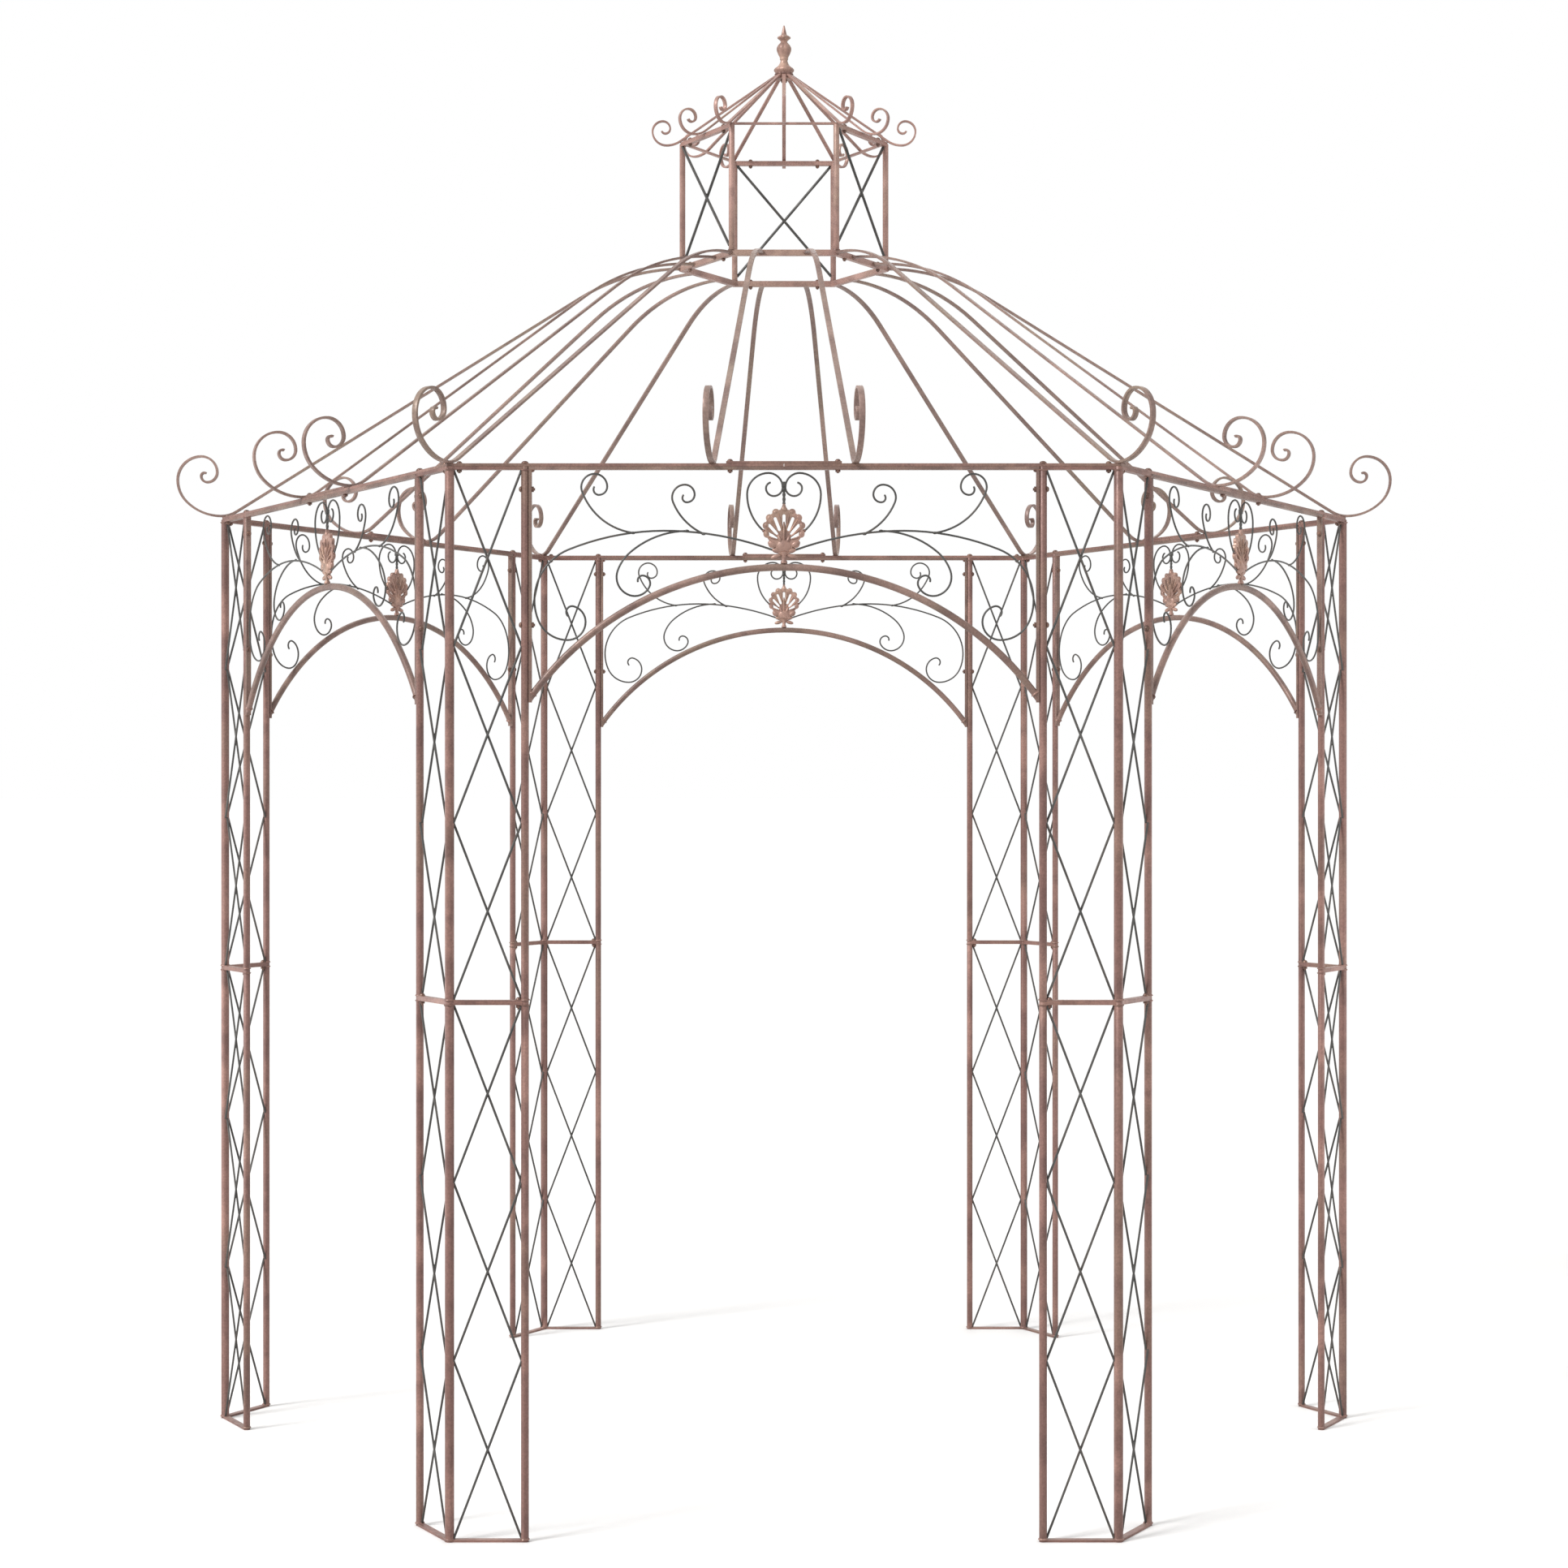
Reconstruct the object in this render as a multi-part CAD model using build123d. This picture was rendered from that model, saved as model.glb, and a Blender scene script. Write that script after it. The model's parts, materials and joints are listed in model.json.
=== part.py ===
from build123d import *
import math
import os

# A six-sided garden pavilion of welded steel tube, flat bar and scrolled wire.
# Millimetres, +Z up, origin on the ground at the centre. The front side faces -Y.
# One side or corner of each kind is modelled at the front, then turned in steps of 60 degrees.

SIDE_NAMES = ["front", "front_right", "back_right", "back", "back_left", "front_left"]
CORNER_NAMES = ["front_right", "right", "back_right", "back_left", "left", "front_left"]
SIXTH_TURN = 60.0

# Plan
CORNER_RADIUS = 1365.0
HALF_SIDE = CORNER_RADIUS / 2
APOTHEM = CORNER_RADIUS * math.cos(math.radians(30))

# Columns: a corner tube and a slimmer tube on each adjoining side, in two stacked halves
CORNER_TUBE_RADIUS = 9.5
SIDE_TUBE_RADIUS = 8.0
COLUMN_WIDTH = 154.0
COLUMN_SPLIT = 1100.0
COLUMN_TOP = 2193.0
RUNG_THICKNESS = 5.0
RUNG_WIDTH = 15.0
TOP_BAR_THICKNESS = 6.5
SIDE_TUBE_X = HALF_SIDE - COLUMN_WIDTH

# Lattice wires in the columns
LATTICE_WIRE = 4.8
CROSSES_PER_HALF = 3

# Arch panels between the columns
ARCH_RADIUS = 637.0
ARCH_CENTRE_HEIGHT = 1351.0
ARCH_TUBE_RADIUS = 7.25
LEG_THICKNESS = 6.0
LEG_DEPTH = 12.0
LEG_BOTTOM = 1712.0
PANEL_HALF_WIDTH = SIDE_TUBE_X - SIDE_TUBE_RADIUS
PANEL_TOP_BAR_BOTTOM = COLUMN_TOP - TOP_BAR_THICKNESS

# Scrolled wire over each arch: start point, first heading in degrees, then runs and tangent arcs.
# Points are (x, z) in the panel's plane and describe the left half.
SCROLL_WIRE = 4.2
MAIN_SCROLL_START = (-23.0, 2023.0, 160.0)
MAIN_SCROLL_ARCS = [(655, 18), (525, 24), (112, 62), (110, 28), (64, 68), (37, 90), (33, 75), (12, 150)]
INNER_SPRIG_START = (-164.0, 2056.0, 156.0)
INNER_SPRIG_ARCS = [(120, -44), (26, -112), (20, -90), (16, -90), (9, -130)]
OUTER_SPRIG_START = (-308.0, 2058.0, 172.0)
OUTER_SPRIG_ARCS = [(130, -62), (27, -110), (26, -90), (17, -90), (11, -120)]
LOWER_SPRIG_START = (-198.0, 2062.0, 180.5)
LOWER_SPRIG_ARCS = [(180, 40), (89, 30), (39, 92), (33, 83), (16, 110), (10, 110)]
HEART_START = (-46.0, 2066.0, 135.0)
HEART_ARCS = [(100, -45), (43.5, -90), (29, -90), (18, -90), (16, -90), (12, -75)]

# Cast shell ornament at the middle of each arch
SHELL_THICKNESS = 7.0
SHELL_PIVOT_HEIGHT = 2040.0
SHELL_BODY_RADIUS = 39.0
SHELL_BODY_HEIGHT = 2067.0
SHELL_LOBES = 9
SHELL_LOBE_RADIUS = 7.5
SHELL_LOBE_INSET = 2.5
SHELL_FAN_START = -18.0
SHELL_FAN_SPREAD = 216.0
SHELL_SLOTS = 7
SHELL_SLOT_WIDTH = 6.2
SHELL_SLOT_REACH = 40.0
SHELL_SLOT_DROP = 1.6
SHELL_SLOT_LENGTH = 26.0
SHELL_SLOT_TAPER = 2.0
SHELL_SLOT_STEP = 21.0
SHELL_KNOB_HEIGHT = 2029.0
SHELL_KNOB_RADIUS = 17.0
SHELL_LEAF_X = 24.0
SHELL_LEAF_HEIGHT = 2035.0
SHELL_LEAF_RADIUS = 8.0
SHELL_TIP_BOTTOM = 2103.0
SHELL_TIP_HEIGHT = 2117.0
SHELL_TIP_HALF_BASE = 7.0
SHELL_ROD_RADIUS = 2.2
SHELL_ROD_TOP = 2143.0
SHELL_STEM_RADIUS = 4.0
SHELL_STEM_TOP = 2020.0

# Eave bars that lie on the columns and arch panels, and the plates that splice them
EAVE_BAR_WIDTH = 13.0
EAVE_BAR_THICKNESS = 6.5
EAVE_TOP = COLUMN_TOP + EAVE_BAR_THICKNESS
EAVE_JOINT_GAP = 1.0
SPLICE_LENGTH = 236.0
SPLICE_THICKNESS = 4.5

# Main rafters: flat bar from the upper ring to the eave, ending in an upturned curl
RAFTER_WIDTH = 12.0
RAFTER_THICKNESS = 5.5
RAFTER_CROWN_RADIUS = 472.0
RAFTER_FOOT_RADIUS = 68.7
RAFTER_FOOT_OFFSET = 9.0
RAFTER_CURL = [(120, 45), (75, 45), (57.5, 90), (39, 90), (24, 90), (15, 90), (8, 120)]
JACK_EAVE_X = 146.0
JACK_RING_X = 53.0

# Upper ring and cupola
RING_RADIUS = 248.0
RING_APOTHEM = RING_RADIUS * math.cos(math.radians(30))
RING_BAR = 14.0
RING_HEIGHT = 2806.0
CUPOLA_SIDES = [1, 3, 5]
CUPOLA_POST_RADIUS = 7.0
CUPOLA_PANEL_TOP = 3110.0
CUPOLA_RING_WIDTH = 9.0
CUPOLA_RING_THICKNESS = 5.0
CUPOLA_WIRE = 6.0
CUPOLA_WIRE_FOOT = 12.0
CUPOLA_RAFTER_WIDTH = 9.0
CUPOLA_RAFTER_THICKNESS = 4.5
CUPOLA_RAFTER_START = 3284.0
CUPOLA_CORNER_REACH = 287.0
CUPOLA_SIDE_REACH = 254.0
CUPOLA_CURL_BOTTOM = 3107.5
CUPOLA_FOOT_RADIUS = 60.0
CUPOLA_CURL = [(34, 90), (25, 90), (18, 90), (12, 90), (9, 70)]

# Finial: a turned spike on a round hub. Each step of its profile ends at the last (radius, height),
# straight from the step before it, or on an arc through the middle point where two are given.
HUB_RADIUS = 20.0
HUB_BOTTOM = 3268.0
FINIAL_TOP = 3402.0
FINIAL_PROFILE = [
    [(HUB_RADIUS, 3284.0)],
    [(25.0, 3290.0), (22.0, 3296.0)],
    [(12.0, 3303.0), (8.5, 3314.0)],
    [(14.0, 3330.0), (19.0, 3341.0)],
    [(15.0, 3351.0), (8.0, 3359.0)],
    [(15.5, 3368.0)],
    [(16.5, 3370.5), (15.5, 3373.0)],
    [(6.5, 3378.0)],
    [(1.2, FINIAL_TOP)],
    [(0.0, FINIAL_TOP)],
    [(0.0, HUB_BOTTOM)],
]


def turned(shape, degrees):
    """A copy of the shape turned about the vertical axis."""
    return shape.rotate(Axis.Z, degrees)


def around(shape):
    """Six copies of the shape, one for each side or corner, in the order of the name lists."""
    return [turned(shape, SIXTH_TURN * step) for step in range(6)]


def block(x_range, y_range, z_range):
    """A box between low and high limits on each axis."""
    size = [high - low for low, high in (x_range, y_range, z_range)]
    centre = [(high + low) / 2 for low, high in (x_range, y_range, z_range)]
    return Pos(*centre) * Box(*size)


def post(x, y, radius, bottom, top):
    """An upright round tube, modelled solid."""
    return Pos(x, y, (bottom + top) / 2) * Cylinder(radius, top - bottom)


def bar_between(start, end, thickness, depth, extra=0.0):
    """A straight bar in the XZ plane between two (x, z) points, with its ends run on by extra."""
    run = (end[0] - start[0], end[1] - start[1])
    angle = math.degrees(math.atan2(run[1], run[0]))
    middle = ((start[0] + end[0]) / 2, (start[1] + end[1]) / 2)
    length = math.hypot(*run) + 2 * extra
    return Location((middle[0], 0, middle[1]), (0, -angle, 0)) * Box(length, depth, thickness)


def ribbon(start, moves, thickness, depth):
    """A bar bent in the XZ plane and centred on it.

    start is (x, z, heading in degrees). Each move is a tangent arc (radius, turn in degrees),
    where a positive turn is to the left, or a straight run (length,).
    """
    x, z, heading = start
    half = thickness / 2
    sides = {half: [], -half: []}

    def point(px, pz, degrees, offset):
        angle = math.radians(degrees)
        return Vector(px - offset * math.sin(angle), 0, pz + offset * math.cos(angle))

    for move in moves:
        here = (x, z, heading)
        if len(move) == 1:
            x += move[0] * math.cos(math.radians(heading))
            z += move[0] * math.sin(math.radians(heading))
            for offset, edges in sides.items():
                edges.append(Edge.make_line(point(*here, offset), point(x, z, heading, offset)))
            continue
        radius, turn = move
        reach = math.copysign(radius, turn)
        centre = point(x, z, heading, reach)
        middle, heading = heading + turn / 2, heading + turn
        halfway = point(centre.X, centre.Z, middle, -reach)
        finish = point(centre.X, centre.Z, heading, -reach)
        x, z = finish.X, finish.Z
        for offset, edges in sides.items():
            through = point(halfway.X, halfway.Z, middle, offset)
            arc = Edge.make_three_point_arc(point(*here, offset), through, point(x, z, heading, offset))
            edges.append(arc)
    first = Edge.make_line(point(*start, half), point(*start, -half))
    last = Edge.make_line(point(x, z, heading, half), point(x, z, heading, -half))
    face = Face(Wire([*sides[half], last, *sides[-half], first]))
    return Pos(0, -depth / 2, 0) * Solid.extrude(face, Vector(0, depth, 0))


def hexagon_ring(apothem, width, bottom, height):
    """A closed hexagonal bar with corners in line with the pavilion's corners."""
    outer = RegularPolygon((apothem + width / 2) / math.cos(math.radians(30)), 6)
    inner = RegularPolygon((apothem - width / 2) / math.cos(math.radians(30)), 6)
    return Pos(0, 0, bottom) * extrude(outer - inner, height)


def on_both_wings(shape):
    """The shape at the right end of the front side, and its mirror image round the corner."""
    return [shape, turned(shape.mirror(Plane.YZ), SIXTH_TURN)]


# ---- Columns ----


def column_half(bottom, top, bar_ranges):
    """Half a column at the front right corner: three tubes joined by flat bars."""
    bar_x = (SIDE_TUBE_X, HALF_SIDE)
    bar_y = (-APOTHEM - RUNG_WIDTH / 2, -APOTHEM + RUNG_WIDTH / 2)
    wing = post(SIDE_TUBE_X, -APOTHEM, SIDE_TUBE_RADIUS, bottom, top)
    for bar_range in bar_ranges:
        wing += block(bar_x, bar_y, bar_range)
    half = post(HALF_SIDE, -APOTHEM, CORNER_TUBE_RADIUS, bottom, top)
    for side_wing in on_both_wings(wing):
        half += side_wing
    return half


def lattice_panel(bottom, top):
    """Crossed wires between the tubes on the right end of the front side, fused where they cross."""
    low_x = SIDE_TUBE_X + SIDE_TUBE_RADIUS
    high_x = HALF_SIDE - CORNER_TUBE_RADIUS
    pitch = (top - bottom) / CROSSES_PER_HALF
    panel = None
    for cross in range(CROSSES_PER_HALF):
        low_z = bottom + cross * pitch
        ends = [((low_x, low_z), (high_x, low_z + pitch)), ((low_x, low_z + pitch), (high_x, low_z))]
        for start, end in ends:
            wire = bar_between(start, end, LATTICE_WIRE, LATTICE_WIRE, extra=LATTICE_WIRE)
            panel = wire if panel is None else panel + wire
    panel = panel & block((SIDE_TUBE_X, HALF_SIDE), (-LATTICE_WIRE, LATTICE_WIRE), (bottom, top))
    panel -= post(SIDE_TUBE_X, 0, SIDE_TUBE_RADIUS, bottom - 1, top + 1)
    panel -= post(HALF_SIDE, 0, CORNER_TUBE_RADIUS, bottom - 1, top + 1)
    return Pos(0, -APOTHEM, 0) * panel


def column_parts():
    """The lower and upper column halves and the lattice of the front right corner."""
    foot = (0, RUNG_THICKNESS)
    lower_rung = (COLUMN_SPLIT - RUNG_THICKNESS, COLUMN_SPLIT)
    upper_rung = (COLUMN_SPLIT, COLUMN_SPLIT + RUNG_THICKNESS)
    top_bar = (PANEL_TOP_BAR_BOTTOM, COLUMN_TOP)
    panels = [
        *on_both_wings(lattice_panel(foot[1], lower_rung[0])),
        *on_both_wings(lattice_panel(upper_rung[1], top_bar[0])),
    ]
    return {
        "column_lower": column_half(0, COLUMN_SPLIT, [foot, lower_rung]),
        "column_upper": column_half(COLUMN_SPLIT, COLUMN_TOP, [upper_rung, top_bar]),
        "column_lattice": Compound([solid for panel in panels for solid in panel.solids()]),
    }


# ---- Arch panels ----


def arch_panel():
    """The front arch tube with its two flat legs and its top bar, welded into one frame."""
    inner_x = PANEL_HALF_WIDTH - LEG_THICKNESS
    first = math.degrees(math.acos(PANEL_HALF_WIDTH / ARCH_RADIUS))
    centre = Vector(0, 0, ARCH_CENTRE_HEIGHT)
    outwards = Vector(math.cos(math.radians(first)), 0, math.sin(math.radians(first)))
    start = Plane(centre + outwards * ARCH_RADIUS, x_dir=outwards, z_dir=Vector(0, -1, 0).cross(outwards))
    tube = revolve(start * Circle(ARCH_TUBE_RADIUS), Axis(centre, (0, -1, 0)), 180 - 2 * first)
    frame = tube & block((-inner_x, inner_x), (-20, 20), (LEG_BOTTOM, COLUMN_TOP))
    for side in (-1, 1):
        leg_x = sorted((side * inner_x, side * PANEL_HALF_WIDTH))
        frame += block(leg_x, (-LEG_DEPTH / 2, LEG_DEPTH / 2), (LEG_BOTTOM, COLUMN_TOP))
    bar_y = (-EAVE_BAR_WIDTH / 2, EAVE_BAR_WIDTH / 2)
    frame += block((-PANEL_HALF_WIDTH, PANEL_HALF_WIDTH), bar_y, (PANEL_TOP_BAR_BOTTOM, COLUMN_TOP))
    return Pos(0, -APOTHEM, 0) * frame


def scrollwork():
    """The scrolled wires over the front arch: two mirrored scrolls and the two lobes of a heart."""
    scroll = ribbon(MAIN_SCROLL_START, MAIN_SCROLL_ARCS, SCROLL_WIRE, SCROLL_WIRE)
    sprigs = [
        (INNER_SPRIG_START, INNER_SPRIG_ARCS),
        (OUTER_SPRIG_START, OUTER_SPRIG_ARCS),
        (LOWER_SPRIG_START, LOWER_SPRIG_ARCS),
    ]
    for start, arcs in sprigs:
        scroll += ribbon(start, arcs, SCROLL_WIRE, SCROLL_WIRE)
    lobe = ribbon(HEART_START, HEART_ARCS, SCROLL_WIRE, SCROLL_WIRE)
    left = [scroll, lobe]
    right = [piece.mirror(Plane.YZ) for piece in left]
    solids = [solid for piece in left + right for solid in piece.solids()]
    return Pos(0, -APOTHEM, 0) * Compound(solids)


def shell_outline():
    """The scalloped fan, its tip, knob, side leaves and stem, as one flat outline."""
    fan = Pos(0, SHELL_BODY_HEIGHT) * Circle(SHELL_BODY_RADIUS)
    for lobe in range(SHELL_LOBES):
        angle = math.radians(SHELL_FAN_START + lobe * SHELL_FAN_SPREAD / (SHELL_LOBES - 1))
        reach = SHELL_BODY_RADIUS - SHELL_LOBE_INSET
        centre = (reach * math.cos(angle), SHELL_BODY_HEIGHT + reach * math.sin(angle))
        fan += Pos(*centre) * Circle(SHELL_LOBE_RADIUS)
    tip_points = [
        (-SHELL_TIP_HALF_BASE, SHELL_TIP_BOTTOM),
        (SHELL_TIP_HALF_BASE, SHELL_TIP_BOTTOM),
        (SHELL_ROD_RADIUS, SHELL_TIP_HEIGHT),
        (-SHELL_ROD_RADIUS, SHELL_TIP_HEIGHT),
    ]
    fan += Polygon(*tip_points, align=None)
    fan += Pos(0, SHELL_KNOB_HEIGHT) * Circle(SHELL_KNOB_RADIUS)
    for side in (-1, 1):
        fan += Pos(side * SHELL_LEAF_X, SHELL_LEAF_HEIGHT) * Circle(SHELL_LEAF_RADIUS)
    return fan


def shell_ornament():
    """The pierced cast shell of the front arch, with its stem below and its rod above."""
    plate = shell_outline()
    for slot in range(SHELL_SLOTS):
        from_middle = slot - (SHELL_SLOTS - 1) / 2
        reach = SHELL_SLOT_REACH - SHELL_SLOT_DROP * from_middle**2
        cut = SlotCenterToCenter(SHELL_SLOT_LENGTH - SHELL_SLOT_TAPER * abs(from_middle), SHELL_SLOT_WIDTH)
        angle = 90 + SHELL_SLOT_STEP * from_middle
        plate -= Pos(0, SHELL_PIVOT_HEIGHT) * Rot(0, 0, angle) * Pos(reach, 0) * cut
    shell = Rot(90, 0, 0) * extrude(plate, SHELL_THICKNESS / 2, both=True)
    arch_top = ARCH_CENTRE_HEIGHT + ARCH_RADIUS + ARCH_TUBE_RADIUS
    shell += post(0, 0, SHELL_STEM_RADIUS, arch_top, SHELL_STEM_TOP)
    shell += post(0, 0, SHELL_ROD_RADIUS, SHELL_TIP_BOTTOM, SHELL_ROD_TOP)
    return Pos(0, -APOTHEM, 0) * shell


# ---- Eave ----


def eave_corner_bar():
    """The bar round the front right corner, from one side's middle to the next."""
    outer = (APOTHEM + EAVE_BAR_WIDTH / 2, EAVE_JOINT_GAP / 2)
    inner = (APOTHEM - EAVE_BAR_WIDTH / 2, EAVE_JOINT_GAP / 2)
    corner = 1 / math.cos(math.radians(30))

    def on_side(apothem, along, normal_degrees, direction):
        angle = math.radians(normal_degrees)
        x = apothem * math.cos(angle) - direction * along * math.sin(angle)
        return (x, apothem * math.sin(angle) + direction * along * math.cos(angle))

    outline = Polygon(
        on_side(*outer, -90, 1),
        (outer[0] * corner * math.cos(math.radians(-60)), outer[0] * corner * math.sin(math.radians(-60))),
        on_side(*outer, -30, -1),
        on_side(*inner, -30, -1),
        (inner[0] * corner * math.cos(math.radians(-60)), inner[0] * corner * math.sin(math.radians(-60))),
        on_side(*inner, -90, 1),
        align=None,
    )
    return Pos(0, 0, COLUMN_TOP) * extrude(outline, EAVE_BAR_THICKNESS)


def eave_splice():
    """The flat plate that joins two eave bars over the middle of the front side."""
    half = EAVE_BAR_WIDTH / 2
    plate_y = (-APOTHEM - half, -APOTHEM + half)
    return block((-SPLICE_LENGTH / 2, SPLICE_LENGTH / 2), plate_y, (EAVE_TOP, EAVE_TOP + SPLICE_THICKNESS))


# ---- Roof ----


def rafter(span, drop, crown_radius, foot_radius, curl, thickness, width):
    """A rafter along +X from the origin, falling by drop over span to its lowest point, then curling."""
    bends = crown_radius + foot_radius
    rise = drop - bends
    straight = math.sqrt(span**2 + rise**2 - bends**2)
    slope = math.degrees(math.atan2(rise, span) + math.atan2(bends, straight))
    moves = [(straight,), (foot_radius, slope), *curl]
    if crown_radius:
        return ribbon((0, 0, 0), [(crown_radius, -slope), *moves], thickness, width)
    return ribbon((0, 0, -slope), moves, thickness, width)


def main_rafter(plan_start, plan_end):
    """A main rafter over a straight plan line from the upper ring to its crossing of the eave."""
    run = (plan_end[0] - plan_start[0], plan_end[1] - plan_start[1])
    span = math.hypot(*run) + RAFTER_FOOT_OFFSET
    drop = RING_HEIGHT - EAVE_TOP - RAFTER_THICKNESS / 2
    sizes = (RAFTER_CROWN_RADIUS, RAFTER_FOOT_RADIUS, RAFTER_CURL, RAFTER_THICKNESS, RAFTER_WIDTH)
    bar = rafter(span, drop, *sizes)
    angle = math.degrees(math.atan2(run[1], run[0]))
    placed = Location((*plan_start, RING_HEIGHT), (0, 0, angle)) * bar
    return placed - hexagon_ring(RING_APOTHEM, RING_BAR, RING_HEIGHT - RING_BAR / 2, RING_BAR)


def corner_rafters():
    """The three rafters at the front right corner: one over the corner and a jack rafter each side."""
    angle = math.radians(-SIXTH_TURN)
    direction = (math.cos(angle), math.sin(angle))
    ends = [tuple(radius * part for part in direction) for radius in (RING_RADIUS, CORNER_RADIUS)]
    bars = [main_rafter(*ends)]
    bars += on_both_wings(main_rafter((JACK_RING_X, -RING_APOTHEM), (JACK_EAVE_X, -APOTHEM)))
    return Compound([outside_piece(bar) for bar in bars])


def outside_piece(bar):
    """The piece of a cut bar that lies furthest from the pavilion's axis."""
    return max(bar.solids(), key=lambda solid: solid.volume)


# ---- Cupola ----


def cupola_panel():
    """The front cupola panel: two posts joined by a top bar."""
    half = RING_RADIUS / 2
    bar_bottom = CUPOLA_PANEL_TOP - TOP_BAR_THICKNESS
    bar_y = (-EAVE_BAR_WIDTH / 2, EAVE_BAR_WIDTH / 2)
    frame = block((-half, half), bar_y, (bar_bottom, CUPOLA_PANEL_TOP))
    for side in (-1, 1):
        frame += post(side * half, 0, CUPOLA_POST_RADIUS, RING_HEIGHT + RING_BAR / 2, CUPOLA_PANEL_TOP)
    return Pos(0, -RING_APOTHEM, 0) * frame


def cupola_cross():
    """The two crossed wires of the front cupola panel, fused where they cross."""
    half = RING_RADIUS / 2
    low_z = RING_HEIGHT + RING_BAR / 2 + CUPOLA_WIRE_FOOT
    high_z = CUPOLA_PANEL_TOP - TOP_BAR_THICKNESS
    wire_x = half - CUPOLA_POST_RADIUS
    rising = bar_between((-wire_x, low_z), (wire_x, high_z), CUPOLA_WIRE, CUPOLA_WIRE, extra=CUPOLA_WIRE)
    cross = rising + rising.mirror(Plane.YZ)
    cross = cross & block((-half, half), (-CUPOLA_WIRE, CUPOLA_WIRE), (RING_HEIGHT + RING_BAR / 2, high_z))
    for side in (-1, 1):
        cross -= post(side * half, 0, CUPOLA_POST_RADIUS, low_z - RING_BAR, high_z + RING_BAR)
    return Pos(0, -RING_APOTHEM, 0) * cross


def cupola_rafter(reach):
    """A small roof bar along +X from the hub to its curl, lowest at the given reach."""
    start = HUB_RADIUS / 2
    drop = CUPOLA_RAFTER_START - CUPOLA_CURL_BOTTOM
    sizes = (0.0, CUPOLA_FOOT_RADIUS, CUPOLA_CURL, CUPOLA_RAFTER_THICKNESS, CUPOLA_RAFTER_WIDTH)
    bar = Pos(start, 0, CUPOLA_RAFTER_START) * rafter(reach - start, drop, *sizes)
    return outside_piece(bar - post(0, 0, HUB_RADIUS, HUB_BOTTOM - 10, CUPOLA_RAFTER_START + 10))


def cupola_rafters():
    """Twelve small roof bars: one to each corner and one to the middle of each side."""
    corner = cupola_rafter(CUPOLA_CORNER_REACH)
    middle = cupola_rafter(CUPOLA_SIDE_REACH)
    return Compound(around(corner) + around(turned(middle, SIXTH_TURN / 2)))


def finial():
    """The turned finial: hub, flared base, waist, bulb, collar and spike."""
    here = (HUB_RADIUS, HUB_BOTTOM)
    outline = [Edge.make_line((0, 0, HUB_BOTTOM), (HUB_RADIUS, 0, HUB_BOTTOM))]
    for step in FINIAL_PROFILE:
        points = [(radius, 0, height) for radius, height in [here, *step]]
        outline.append(Edge.make_line(*points) if len(points) == 2 else Edge.make_three_point_arc(*points))
        here = step[-1]
    return revolve(Face(Wire(outline)), Axis.Z)


# ---- Assembly ----


def all_nodes():
    """Every named piece of the pavilion."""
    nodes = {}
    for kind, shape in {**column_parts(), "rafters": corner_rafters()}.items():
        for name, placed in zip(CORNER_NAMES, around(shape)):
            nodes[f"{kind}_{name}"] = placed
    for kind, shape in {"arch": arch_panel(), "scrollwork": scrollwork()}.items():
        for name, placed in zip(SIDE_NAMES, around(shape)):
            nodes[f"{kind}_{name}"] = placed
    nodes["shell_ornaments"] = Compound(around(shell_ornament().solid()))
    nodes["eave_bars"] = Compound(around(eave_corner_bar().solid()))
    nodes["eave_splices"] = Compound(around(eave_splice().solid()))
    nodes["upper_ring"] = hexagon_ring(RING_APOTHEM, RING_BAR, RING_HEIGHT - RING_BAR / 2, RING_BAR)
    for name, shape in {"cupola_panels": cupola_panel(), "cupola_lattice": cupola_cross()}.items():
        placed = around(shape.solid())
        nodes[name] = Compound([placed[side] for side in CUPOLA_SIDES])
    nodes["cupola_ring"] = hexagon_ring(
        RING_APOTHEM, CUPOLA_RING_WIDTH, CUPOLA_PANEL_TOP, CUPOLA_RING_THICKNESS
    )
    nodes["cupola_rafters"] = cupola_rafters()
    nodes["finial"] = finial()
    return nodes


os.makedirs("parts", exist_ok=True)
for node_name, node_shape in all_nodes().items():
    export_step(node_shape, f"parts/{node_name}.step")
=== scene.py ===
"""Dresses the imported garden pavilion: round wires, castings, bolts, welds, coats, studio and camera."""

import json
import logging
import math
import random
from dataclasses import dataclass, replace
from enum import Enum
from typing import Callable, Iterable, Sequence

import bmesh
import bpy
from bmesh.types import BMEdge, BMesh, BMFace, BMVert
from bpy.types import Material, Node, NodeSocket, NodeTree
from mathutils import Matrix, Vector


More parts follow.
